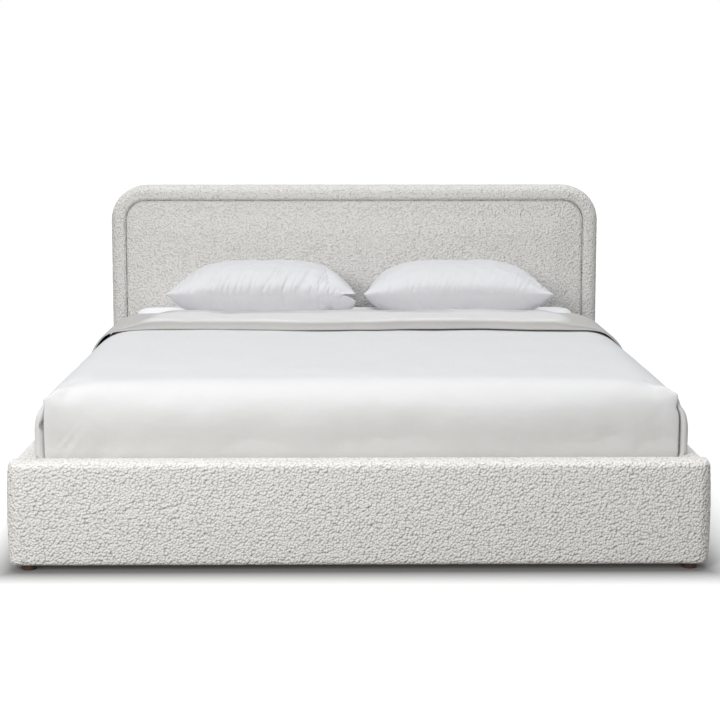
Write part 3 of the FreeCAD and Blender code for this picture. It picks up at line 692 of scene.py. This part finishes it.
def fitted_sheet():
    """A sheet pulled tight over the mattress, with soft pulls at its corners."""
    mesh = mattress_block(0.0012, SHEET.low.z, 0.09)
    mesh = remeshed(mesh, SHEET_GRID)
    work = bmesh.new()
    work.from_mesh(mesh)
    floor = [f for f in work.faces if f.calc_center_median().z < SHEET.low.z + 0.008]
    bmesh.ops.delete(work, geom=floor, context="FACES")
    work.to_mesh(mesh)
    work.free()
    points, normals = points_and_normals(mesh)
    pulls = lattice_noise(points * [1, 1, 0.3], 0.05, 41) + 0.5 * lattice_noise(points, 0.02, 42)
    side = 1 - ease(0.3, 0.9, normals[:, 2])
    lift = 0.0006 + 0.0012 * pulls * (0.25 + side)
    write_points(mesh, squared_head(points + normals * lift[:, None]))
    mesh = with_modifiers(mesh, ("SOLIDIFY", {"thickness": 0.0008, "offset": 1.0}))
    made = piece("fitted_sheet_cloth", mesh, MATERIALS["white_cotton"], "mattress")
    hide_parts("fitted_sheet")


# ---------------------------------------------------------------- duvet

DUVET_TOP = DUVET.high.z - 0.045         # the duvet's top below its turned-back end
SIDE_OUT = {-1: 1.010, 1: 1.026}         # how far its two sides stand out at the foot
SIDE_SWELL = 0.010                       # how much further they stand out at mid length
FOOT_OUT = DUVET.low.y + 0.001           # where its foot panel hangs
HEAD_FOLD = DUVET.high.y - 0.004         # where its head end turns back
HEM_FOLD = DUVET.high.y - 0.385          # where the turned-back end stops
EDGE_X = 0.166                           # how far in from the side the top starts to round off
EDGE_Y = 0.120                           # and from the foot
SIDE_DROP = 0.150                        # how far down the sides reach their widest
FOOT_DROP = 0.125
HANG_LOW = RAIL.high.z + 0.012           # where the hanging part meets the rails
TUCKED = RAIL.high.z - 0.052             # the lowest edge, tucked in beside the mattress
TUCK_X = MATTRESS.high.x + 0.0155        # where its face stands below the tops of the rails
TUCK_Y = MATTRESS.low.y - 0.0155

PLEAT_START = 0.548                      # the height at which a corner's pleat starts to fold
PLEAT_FULL = 0.522                       # and is folded

# One corner of the foot, from the side round to the foot panel: how far each column stands in
# from the side and from the foot, as a plain round corner and as a folded pleat, how far down
# it reaches its widest, and how square its shoulder is.
CORNER = (
    ((0.000, 0.090), (0.000, 0.086), 0.150, 0.84),
    ((0.000, 0.066), (0.000, 0.058), 0.150, 0.80),
    ((0.001, 0.048), (0.001, 0.036), 0.150, 0.76),
    ((0.004, 0.034), (0.004, 0.020), 0.148, 0.72),
    ((0.008, 0.025), (0.010, 0.012), 0.146, 0.66),
    ((0.013, 0.018), (0.018, 0.009), 0.142, 0.60),
    ((0.018, 0.013), (0.0265, 0.012), 0.138, 0.54),
    ((0.023, 0.009), (0.032, 0.024), 0.134, 0.48),
    ((0.028, 0.006), (0.038, 0.044), 0.130, 0.42),
    ((0.033, 0.004), (0.047, 0.045), 0.126, 0.37),
    ((0.036, 0.003), (0.048, 0.029), 0.122, 0.35),
    ((0.040, 0.002), (0.041, 0.013), 0.118, 0.33),
    ((0.044, 0.0015), (0.0350, 0.006), 0.115, 0.32),
    ((0.050, 0.0006), (0.0370, 0.0015), 0.115, 0.32),
    ((0.058, 0.0), (0.047, 0.0), 0.115, 0.34),
    ((0.070, 0.0), (0.062, -0.001), 0.115, 0.38),
)


class Column:
    """A line down the duvet: from the edge of the flat top, over the shoulder, to the tuck."""

    def __init__(self, edge, plain, pleat, drop, square):
        self.edge = np.array(edge)
        self.plain = np.array(plain)
        self.pleat = np.array(pleat)
        self.drop = drop
        self.square = square

    def points(self):
        line = []
        for a in np.linspace(0, math.pi / 2, 13):
            height = DUVET_TOP - self.drop * (1 - math.cos(a))
            line.append(self.at(height, math.sin(a) ** self.square))
        for height in np.linspace(DUVET_TOP - self.drop, HANG_LOW, 12)[1:]:
            line.append(self.at(height, 1.0))
        for turn in np.linspace(0, math.pi / 2, 5)[1:]:
            height = HANG_LOW - 0.026 * math.sin(turn)
            line.append(self.at(height, 1.0, 1 - math.cos(turn)))
        line.append(self.at(TUCKED + 0.013, 1.0, 1.0))
        line.append(self.at(TUCKED, 1.0, 1.0))
        return line

    def at(self, height, out, tucked=0.0):
        folded = ease(PLEAT_START, PLEAT_FULL, height)
        waist = self.plain + (self.pleat - self.plain) * folded
        x, y = self.edge + (waist - self.edge) * out
        inside = math.copysign(min(abs(x), TUCK_X), x), max(y, TUCK_Y)
        return x + (inside[0] - x) * tucked, y + (inside[1] - y) * tucked, height


def duvet_columns():
    """Every column from the head on one side, round the foot, to the head on the other."""
    halves = []
    edge_y = FOOT_OUT + EDGE_Y
    for side in (-1, 1):
        out, edge_x = SIDE_OUT[side], SIDE_OUT[side] - EDGE_X
        part = []
        for y in np.linspace(HEAD_FOLD - 0.012, edge_y, 52, endpoint=False):
            along = (y - edge_y) / (HEAD_FOLD - edge_y)
            x = side * (out + SIDE_SWELL * math.sin(math.pi * along) ** 0.7)
            square = 0.84 + 0.12 * min(1.0, along * 3)
            part.append(Column((side * edge_x, y), (x, y), (x, y), SIDE_DROP, square))
        for plain, pleat, drop, square in CORNER:
            places = [(side * (out - inset), FOOT_OUT + back) for inset, back in (plain, pleat)]
            part.append(Column((side * edge_x, edge_y), *places, drop, square))
        for x in np.linspace(out - 0.085, edge_x, 6):
            square = 0.40 + 0.12 * (out - x) / EDGE_X
            place = (side * x, FOOT_OUT)
            part.append(Column((side * edge_x, edge_y), place, place, FOOT_DROP, square))
        halves.append(part)
    left, right = halves
    foot = []
    for x in np.linspace(left[-1].edge[0], right[-1].edge[0], 66)[1:-1]:
        inward = min(x - left[-1].edge[0], right[-1].edge[0] - x)
        square = 0.52 + 0.36 * min(1.0, inward / 0.3)
        foot.append(Column((x, edge_y), (x, FOOT_OUT), (x, FOOT_OUT), FOOT_DROP, square))
    return left + foot + right[::-1]


def duvet_skirt():
    """The duvet's rounded shoulders, sides and foot, as a grid of rows and columns."""
    return np.array([column.points() for column in duvet_columns()]).transpose(1, 0, 2)


def duvet_top(skirt):
    """The flat of the duvet, which starts where the skirt's first row lies."""
    first = skirt[0]
    xs = np.unique(np.round(first[np.abs(first[:, 1] - FOOT_OUT - EDGE_Y) < 1e-6][:, 0], 6))
    ys = np.unique(np.round(first[first[:, 0] < first[:, 0].min() + 1e-6][:, 1], 6))[::-1]
    return np.array([[(x, y, DUVET_TOP) for x in xs] for y in ys])


# The pleat at each corner of the foot: places out from the bed's middle, and heights.
DENT_X = 0.920           # the dent that it leaves in the top
PEAK_X = 0.972           # the small peak where it starts
PEAK_Z = 0.520
SLIT_X = 0.981           # the gap between its two layers
CLOSED_Z = 0.435         # where the layers close on each other
WAIST_Z = 0.492          # where it is drawn in


def settle_corners(points):
    """Dents the top at each pleat, lifts its peak, parts its two layers and draws it in."""
    x, y, z = points.T
    dent = np.hypot(DENT_X - np.abs(x), FOOT_OUT + 0.065 - y)
    points[:, 2] -= 0.015 * bell(dent, 0.06) * ease(0.50, 0.54, z)
    peak = np.stack([np.abs(x) - PEAK_X, (y - FOOT_OUT - 0.012) * 0.7, z - PEAK_Z])
    peak = bell(np.linalg.norm(peak, axis=0), 0.017)
    points += peak[:, None] * spots(np.sign(x) * 0.010, -0.003, 0.009)
    deep = y - FOOT_OUT
    lip = bell(np.abs(x) - SLIT_X, 0.008) * ease(0.004, 0.010, deep) * ease(0.05, 0.03, deep)
    parted = 1 - 2.2 * bell(z - CLOSED_Z, 0.017)
    points[:, 0] -= np.sign(x) * 0.0048 * lip * parted * ease(0.53, 0.50, z)
    waist = bell(z - WAIST_Z, 0.014) * ease(FOOT_OUT + 0.10, FOOT_OUT + 0.04, y)
    points[:, 0] -= np.sign(x) * 0.006 * waist * ease(0.978, 0.990, np.abs(x))


def settle_top(points):
    """Low swells and a finer unevenness over the flat."""
    x, y, z = points.T
    top = ease(0.50, 0.56, z)
    calm = spots(x * 0.5, y * 0.8, 0.0)
    points[:, 2] += top * 0.0040 * lattice_noise(calm, 0.22, 61)
    points[:, 2] += top * 0.0012 * lattice_noise(calm, 0.07, 62)


# Upright creases low on the foot panel: where each starts, how it leans, its width and depth.
FOOT_CREASES = (
    (-0.965, 0.8, 0.008, 0.0030),
    (-0.930, 0.7, 0.012, 0.0028),
    (-0.80, 0.6, 0.04, 0.003),
    (0.80, -0.45, 0.035, 0.004),
)


def settle_foot(points):
    """Swells and creases the foot panel, and draws it in a little towards the rail."""
    x, y, z = points.T
    foot = ease(FOOT_OUT + 0.05, FOOT_OUT + 0.012, y) * ease(0.545, 0.49, z) * ease(0.30, 0.345, z)
    swell = 0.0045 * lattice_noise(spots(x, 0.0, z * 0.8), 0.16, 63)
    swell += 0.0016 * lattice_noise(spots(x + 0.5 * z, 0.0, z * 0.5), 0.05, 64)
    reach = ease(0.47, 0.36, z)
    for start, lean, width, depth in FOOT_CREASES:
        across = (x - start - lean * (z - 0.335)) / width
        swell -= depth * bell(across, 1) * reach
        swell += 0.6 * depth * bell(across - 1.6, 1) * reach
    inward = 0.008 * ease(0.44, 0.345, z)
    points[:, 1] = y + foot * np.minimum(inward - swell, 0.007)


def settle_sides(points):
    """A slow ripple along the two hanging sides."""
    x, y, z = points.T
    flank = ease(0.93, 0.99, np.abs(x)) * ease(0.55, 0.47, z) * ease(0.30, 0.36, z)
    ripple = 0.004 * lattice_noise(spots(y, 0.0, z * 0.4), 0.14, 65)
    points[:, 0] += np.sign(x) * flank * ripple


def settle_duvet(mesh):
    """The soft hollows, swells and pulls of a duvet that has been smoothed by hand."""
    points = read_points(mesh)
    settle_corners(points)
    settle_top(points)
    settle_foot(points)
    settle_sides(points)
    write_points(mesh, points)


def duvet():
    """One quilted cloth over the top, both sides and the foot, pleated at its foot corners."""
    skirt = duvet_skirt()
    top = duvet_top(skirt)
    skirt_mesh = grid_mesh("duvet_skirt", skirt)
    top_mesh = grid_mesh("duvet_top", top)
    work = bmesh.new()
    work.from_mesh(skirt_mesh)
    work.from_mesh(top_mesh)
    bmesh.ops.remove_doubles(work, verts=work.verts, dist=0.00005)
    mesh = bpy.data.meshes.new("duvet")
    bmesh.ops.recalc_face_normals(work, faces=work.faces)
    if sum(f.normal.z * f.calc_area() for f in work.faces) < 0:
        bmesh.ops.reverse_faces(work, faces=work.faces)
    work.to_mesh(mesh)
    work.free()
    mesh = with_modifiers(mesh, SMOOTHED)
    settle_duvet(mesh)
    mesh = with_modifiers(mesh, ("SOLIDIFY", {"thickness": 0.007, "offset": -1.0}))
    made = piece("duvet_body", mesh, MATERIALS["duvet_cotton"], "duvet")
    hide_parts("duvet")


def across_paths(thick, count=150):
    """Two lines across the duvet from tuck to tuck: on its surface, and above it.

    The upper line stands a full thickness above the flat top, and lies close on the shoulders.
    """
    arms = []
    for side in (-1, 1):
        out = SIDE_OUT[side] + 0.3 * SIDE_SWELL
        edge = out - EDGE_X
        arm = [(side * x, z) for x, z in (
            (TUCK_X + 0.001, HANG_LOW - 0.045), (TUCK_X + 0.003, HANG_LOW - 0.030),
            (TUCK_X + 0.012, HANG_LOW - 0.014), (out - 0.013, HANG_LOW + 0.001),
            (out - 0.001, HANG_LOW + 0.022), (out, HANG_LOW + 0.048))]
        for a in np.linspace(math.pi / 2, 0, 26):
            arm.append((side * (edge + EDGE_X * math.sin(a) ** 0.94),
                        DUVET_TOP - SIDE_DROP * (1 - math.cos(a))))
        arms.append(arm)
    left, right = arms
    flat = np.linspace(left[-1][0], right[-1][0], count)[1:-1]
    low = np.array(left + [(x, DUVET_TOP) for x in flat] + right[::-1])
    along = np.gradient(low, axis=0)
    along /= np.linalg.norm(along, axis=1, keepdims=True)
    outward = np.column_stack([-along[:, 1], along[:, 0]])
    reach = np.abs(low[:, 0])
    lift = 0.004 + 0.006 * ease(0.36, 0.40, low[:, 1]) + (thick - 0.010) * ease(0.95, 0.73, reach)
    gap = np.where(low[:, 0] < 0, 0.013, 0.006) * bell(reach - 0.945, 0.045)
    low_line = low + outward * gap[:, None]
    return low_line, low + outward * (lift + 0.7 * gap)[:, None]


FOLD_THICK = 0.043
CREASE = 0.024           # the radius of the crease where the head end turns back


def turned_back_end():
    """The head end folded over the top: a rounded crease behind, a soft thick hem in front."""
    low_path, high_path = across_paths(FOLD_THICK)
    section = []
    for a in np.linspace(-math.pi / 2, math.pi / 2, 12):
        section.append((HEAD_FOLD - CREASE + CREASE * math.cos(a), 0.5 + 0.5 * math.sin(a), 0.55))
    for y in np.linspace(HEAD_FOLD - 0.03, HEM_FOLD + 0.03, 34):
        section.append((y, 1.0, 0.0))
    for forward, share in ((0.018, 1.0), (0.010, 0.985), (0.004, 0.93), (0.001, 0.83), (0.0, 0.72),
                           (0.001, 0.60), (0.001, 0.48), (0.000, 0.35), (-0.002, 0.23),
                           (-0.003, 0.12), (0.002, 0.03)):
        section.append((HEM_FOLD + forward, share, 0.0))
    for y in np.linspace(HEM_FOLD + 0.04, HEAD_FOLD - 0.04, 22):
        section.append((y, 0.03, 0.0))
    rings = []
    for y, share, drop in section:
        line = low_path + (high_path - low_path) * share
        points = np.column_stack([line[:, 0], np.full(len(line), y), line[:, 1]])
        points[:, 2] -= drop * 0.022 * (1 - share) * ease(0.50, 0.56, points[:, 2])
        rings.append(points)
    mesh = closed_mesh(grid_mesh("turned_back", np.array(rings), close_rows=True))
    mesh = with_modifiers(mesh, SMOOTHED)
    points = read_points(mesh)
    x, y, z = points.T
    hem = ease(HEM_FOLD + 0.10, HEM_FOLD + 0.01, y)
    along = spots(x, 0.0, 0.0)
    wander = 0.024 * lattice_noise(along, 0.24, 71) + 0.005 * lattice_noise(along, 0.08, 72)
    points[:, 1] += hem * wander
    top = ease(0.585, 0.60, z)
    wave = spots(x, y * 1.6, 0.0)
    waves = 0.0045 * lattice_noise(wave, 0.16, 73) + 0.0016 * lattice_noise(wave, 0.05, 74)
    points[:, 2] += top * waves
    back = ease(HEAD_FOLD - 0.08, HEAD_FOLD, y)
    points[:, 2] -= top * 0.004 * back * (1 + lattice_noise(along, 0.18, 75))
    points[:, 2] -= top * 0.009 * ease(HEM_FOLD + 0.14, HEAD_FOLD - 0.08, y)
    write_points(mesh, points)
    made = piece("duvet_turned_back_end", mesh, FOLD_CLOTH, "duvet")


# ---------------------------------------------------------------- pillows

def pillow_bag(span, seed, open_end):
    """Two layers of cloth sewn at their edge, plump in the middle and flat at four corners."""
    columns, rows = 124, 80
    u, v = np.meshgrid(np.linspace(-1, 1, columns + 1), np.linspace(-1, 1, rows + 1))
    waist = 1 - 0.045 * (1 - v * v) * np.abs(u) ** 4
    waist_y = 1 - 0.07 * (1 - u * u) * np.abs(v) ** 4
    back = (v + 1) / 2
    x = u * span.size.x / 2 * waist * (1 - 0.09 * back ** 1.5)
    if open_end:
        x -= 0.050 * ease(0.70, 1.0, u)
    y = v * span.size.y / 2 * waist_y
    plump = (1 - np.abs(u) ** 3.4) ** 0.72 * (1 - np.abs(v) ** 2.3) ** 0.56
    full = (1 - np.abs(u) ** 4) ** 0.62 * (1 - np.abs(v) ** 4) ** 0.62
    droop = -0.030 * back
    tallest = span.size.z - SEAM - 0.004
    layers = []
    for sign, height in ((1, tallest * plump), (-1, np.minimum(0.132 * full, SEAM))):
        z = sign * height + droop * (1 - plump)
        layers.append(np.stack([x, y, z], axis=-1))
    work = bmesh.new()
    for layer, turned in zip(layers, (False, True)):
        mesh = grid_mesh("layer", layer[::-1] if turned else layer)
        work.from_mesh(mesh)
        bpy.data.meshes.remove(mesh)
    bmesh.ops.remove_doubles(work, verts=work.verts, dist=0.0002)
    bmesh.ops.recalc_face_normals(work, faces=work.faces)
    mesh = bpy.data.meshes.new("pillow_bag")
    work.to_mesh(mesh)
    work.free()
    points = read_points(mesh)
    points[:, 2] += 0.0015 * lattice_noise(points, 0.04, seed)
    write_points(mesh, points)
    return mesh


def pinched(places, size, seed):
    """Narrow raised creases, from 0 to 1, along the lines where a noise crosses zero."""
    return 1 - np.minimum(1, 2.6 * np.abs(lattice_noise(places, size, seed)))


def gathers(points, span, seed, seam_depth, end_depth):
    """Fine creases that fan out from the front seam, and longer ones that run in from the ends."""
    x, y, z = points.T
    from_front = y + span.size.y / 2
    rise = np.hypot(z, 0.8 * from_front)
    fan = x * (1 - 0.5 * rise) - 0.30 * rise
    places = spots(fan, rise * 0.13, 0.0)
    wide = lattice_noise(places, 0.023, seed + 1)
    patchy = 0.8 + 0.4 * lattice_noise(spots(x, 0.0, 0.0), 0.09, seed + 4)
    reach = 0.095 * (1 + 0.45 * wide)
    fade = bell(rise - 0.04, reach) * ease(0.001, 0.012, np.abs(z))
    ends = ease(0.22, 0.36, np.abs(x)) * ease(0.002, 0.02, np.abs(z))
    pulls = pinched(spots(x * 0.25, y + np.abs(x) * 0.6, z * 2), 0.03, seed + 2)
    broad = lattice_noise(points * [0.6, 1, 1], 0.11, seed + 3)
    above = np.where(z > 0, 1.0, 0.35)
    creases = patchy * fade * (pinched(places, 0.0135, seed) + 0.6 * wide)
    return above * (seam_depth * creases + end_depth * ends * pulls + 0.002 * broad)


LIP_LINES = 60           # across the open end of a pillowcase
LIP_STEPS = 18           # and out from the filling


def opening(span, body):
    """The open end of a pillowcase: its two layers run on past the filling and stand apart."""
    half = span.size.x / 2
    tree = BVHTree.FromPolygons([v.co for v in body.vertices], [p.vertices for p in body.polygons])
    lips = []
    for sign, reach, seed in ((1, 0.115, 5), (-1, 0.100, 6)):
        rows = []
        for v in np.linspace(-0.97, 0.86, LIP_LINES):
            y = v * span.size.y / 2
            aside = (v + 1) / 2
            start = half - reach - 0.045 * aside
            hit = tree.ray_cast(Vector((start, y, sign * 0.5)), Vector((0, 0, -sign)))[0]
            surface = (hit.z if hit else 0.0) + sign * 0.001
            middle = 1 - abs(v) ** 3
            if sign > 0:
                tip = (half - 0.004 - 0.085 * aside, 0.004 + 0.006 * middle)
            else:
                hang = max(-0.026 - 0.078 * middle, 0.004 - SEAM)
                tip = (half - 0.002 - 0.026 * middle - 0.060 * aside, hang)
            for out in np.linspace(0, 1, LIP_STEPS):
                swell = 0.012 * math.sin(math.pi * out) * middle
                x = start + (tip[0] - start) * out
                z = surface + (tip[1] - surface) * out ** (1 + 3 * abs(v) ** 3) + sign * swell
                rows.append((x, y * (1 - 0.015 * out), z, v, out))
        table = np.array(rows)
        across, out = table[:, 3], table[:, 4]
        wave = lattice_noise(spots(across, out * 0.25, 0.0), 0.16, seed)
        table[:, 2] += 0.006 * wave * out
        table[:, 0] += 0.004 * wave * out
        table[:, 2] = np.maximum(table[:, 2], 0.002 - SEAM)
        lips.append(grid_mesh("lip", table[:, :3].reshape(LIP_LINES, LIP_STEPS, 3)))
    return lips


def pillow(side_name, seed, seam_depth, end_depth, open_end):
    """A plump pillow in its case, blown up as cloth, then creased along its seams."""
    span = Span(f"pillowcase_{side_name}")
    mesh = inflate(pillow_bag(span, seed, open_end))
    points = read_points(mesh)
    low, high = points.min(0), points.max(0)
    tall = np.where(points[:, 2] > 0, (span.size.z - SEAM - 0.003) / high[2], SEAM / -low[2])
    points[:, 2] *= tall
    points[:, 0] *= -span.size.x / 2 / low[0]
    points[:, 1] *= -span.size.y / 2 / low[1]
    write_points(mesh, points)
    mesh = with_modifiers(mesh, SMOOTHED)
    points, normals = points_and_normals(mesh)
    points = points + normals * gathers(points, span, seed, seam_depth, end_depth)[:, None]
    points[:, 2] = np.clip(points[:, 2], -SEAM, span.size.z - SEAM - 0.001)
    write_points(mesh, points)
    if open_end:
        work = bmesh.new()
        work.from_mesh(mesh)
        for lip in opening(span, mesh):
            work.from_mesh(with_modifiers(lip, ("SOLIDIFY", {"thickness": 0.002}),
                                          SMOOTHED))
        work.to_mesh(mesh)
        work.free()
    seam_place = (span.middle.x, span.middle.y, span.low.z + SEAM)
    write_points(mesh, read_points(mesh) + np.array(seam_place))
    made = piece(f"pillow_{side_name}_case", mesh, PILLOW_COTTON, f"{side_name}_pillow")
    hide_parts(f"pillowcase_{side_name}", f"pillow_{side_name}")


def inflate(mesh):
    """Blows a closed cloth up for some frames and keeps the shape."""
    holder = bpy.data.objects.new("inflating", mesh)
    bpy.context.scene.collection.objects.link(holder)
    cloth = holder.modifiers.new("cloth", "CLOTH")
    settings = cloth.settings
    settings.quality = 5
    settings.mass = 0.25
    settings.tension_stiffness = 25
    settings.compression_stiffness = 20
    settings.shear_stiffness = 8
    settings.bending_stiffness = 0.6
    settings.use_pressure = True
    settings.uniform_pressure_force = 0.8
    settings.effector_weights.gravity = 0
    cloth.collision_settings.use_collision = False
    scene = bpy.context.scene
    for number in range(1, 10):
        scene.frame_set(number)
    ready = holder.evaluated_get(bpy.context.evaluated_depsgraph_get())
    made = bpy.data.meshes.new_from_object(ready)
    bpy.data.objects.remove(holder)
    scene.frame_set(1)
    return made


# ---------------------------------------------------------------- the studio

def studio():
    """A pale floor, a bank of light overhead and a large soft lamp in front on the left."""
    ends = (-30, 30)
    floor_mesh = grid_mesh("floor", np.array([[(x, y, 0.0) for x in ends] for y in ends]))
    floor = bpy.data.objects.new("studio_floor", floor_mesh)
    floor_mesh.materials.append(studio_white())
    bpy.context.scene.collection.objects.link(floor)
    floor.visible_diffuse = False

    studio_air()
    sun = bpy.data.lights.new("overhead_bank", "SUN")
    sun.energy = 1.33
    sun.angle = math.radians(38)
    sun.color = (0.975, 0.985, 1.0)
    key = bpy.data.lights.new("key_softbox", "AREA")
    key.size = 2.2
    key.energy = 228.0
    key.color = (1.0, 0.985, 0.96)
    for lamp, place, aim in ((sun, (0.05, 0.0, 5.0), (0.0, 0.0, 0.0)),
                             (key, (-2.5, -5.7, 2.9), (0.1, 0.0, 0.4))):
        holder = bpy.data.objects.new(lamp.name, lamp)
        holder.location = place
        holder.rotation_euler = (Vector(aim) - Vector(place)).to_track_quat("-Z", "Y").to_euler()
        bpy.context.scene.collection.objects.link(holder)

    bpy.context.scene.view_settings.view_transform = "Standard"


def studio_air():
    """White where the camera looks past the floor; as light, soft above and dimmer below."""
    world = bpy.data.worlds.new("studio_air")
    world.use_nodes = True
    tree = world.node_tree
    air = tree.nodes["Background"]
    seen = tree.nodes.new("ShaderNodeLightPath")
    way = tree.nodes.new("ShaderNodeTexCoord")
    height = tree.nodes.new("ShaderNodeSeparateXYZ")
    ramp = tree.nodes.new("ShaderNodeValToRGB")
    pick = tree.nodes.new("ShaderNodeMix")
    pick.data_type = "RGBA"
    span = tree.nodes.new("ShaderNodeMapRange")
    span.inputs["From Min"].default_value = -1.0
    for element, (position, colour) in zip(ramp.color_ramp.elements, (
            (0.35, rgb(0.212, 0.205, 0.195)), (0.75, rgb(0.56, 0.565, 0.57)))):
        element.position = position
        element.color = colour
    tree.links.new(way.outputs["Generated"], height.inputs[0])
    tree.links.new(height.outputs["Z"], span.inputs["Value"])
    tree.links.new(span.outputs["Result"], ramp.inputs["Fac"])
    tree.links.new(seen.outputs["Is Camera Ray"], pick.inputs[0])
    tree.links.new(ramp.outputs["Color"], pick.inputs[6])
    pick.inputs[7].default_value = rgb(1.0, 1.0, 1.0)
    tree.links.new(pick.outputs[2], air.inputs["Color"])
    bpy.context.scene.world = world


def camera():
    lens = bpy.data.cameras.new("camera")
    lens.sensor_width = 36.0
    lens.lens = 76.33
    lens.shift_y = -0.1278
    lens.clip_end = 200.0
    holder = bpy.data.objects.new("camera", lens)
    holder.location = (-0.047, -5.692, 1.416)
    holder.rotation_euler = (math.radians(90 - 6.0), 0.0, math.radians(-0.6))
    bpy.context.scene.collection.objects.link(holder)
    bpy.context.scene.camera = holder


# ---------------------------------------------------------------- the build

for part in frame["record"]["subparts"]:
    node_mesh = frame["nodes"][part["node"]].data
    node_mesh.materials.clear()
    node_mesh.materials.append(MATERIALS[part["material_slot"]])

footboard()
side_rail("left", seed=7)
side_rail("right", seed=11)
headboard_border()
headboard_pad()
mattress()
fitted_sheet()
duvet()
turned_back_end()
pillow("left", seed=81, seam_depth=0.0070, end_depth=0.0028, open_end=True)
pillow("right", seed=91, seam_depth=0.0022, end_depth=0.0036, open_end=False)
studio()
camera()
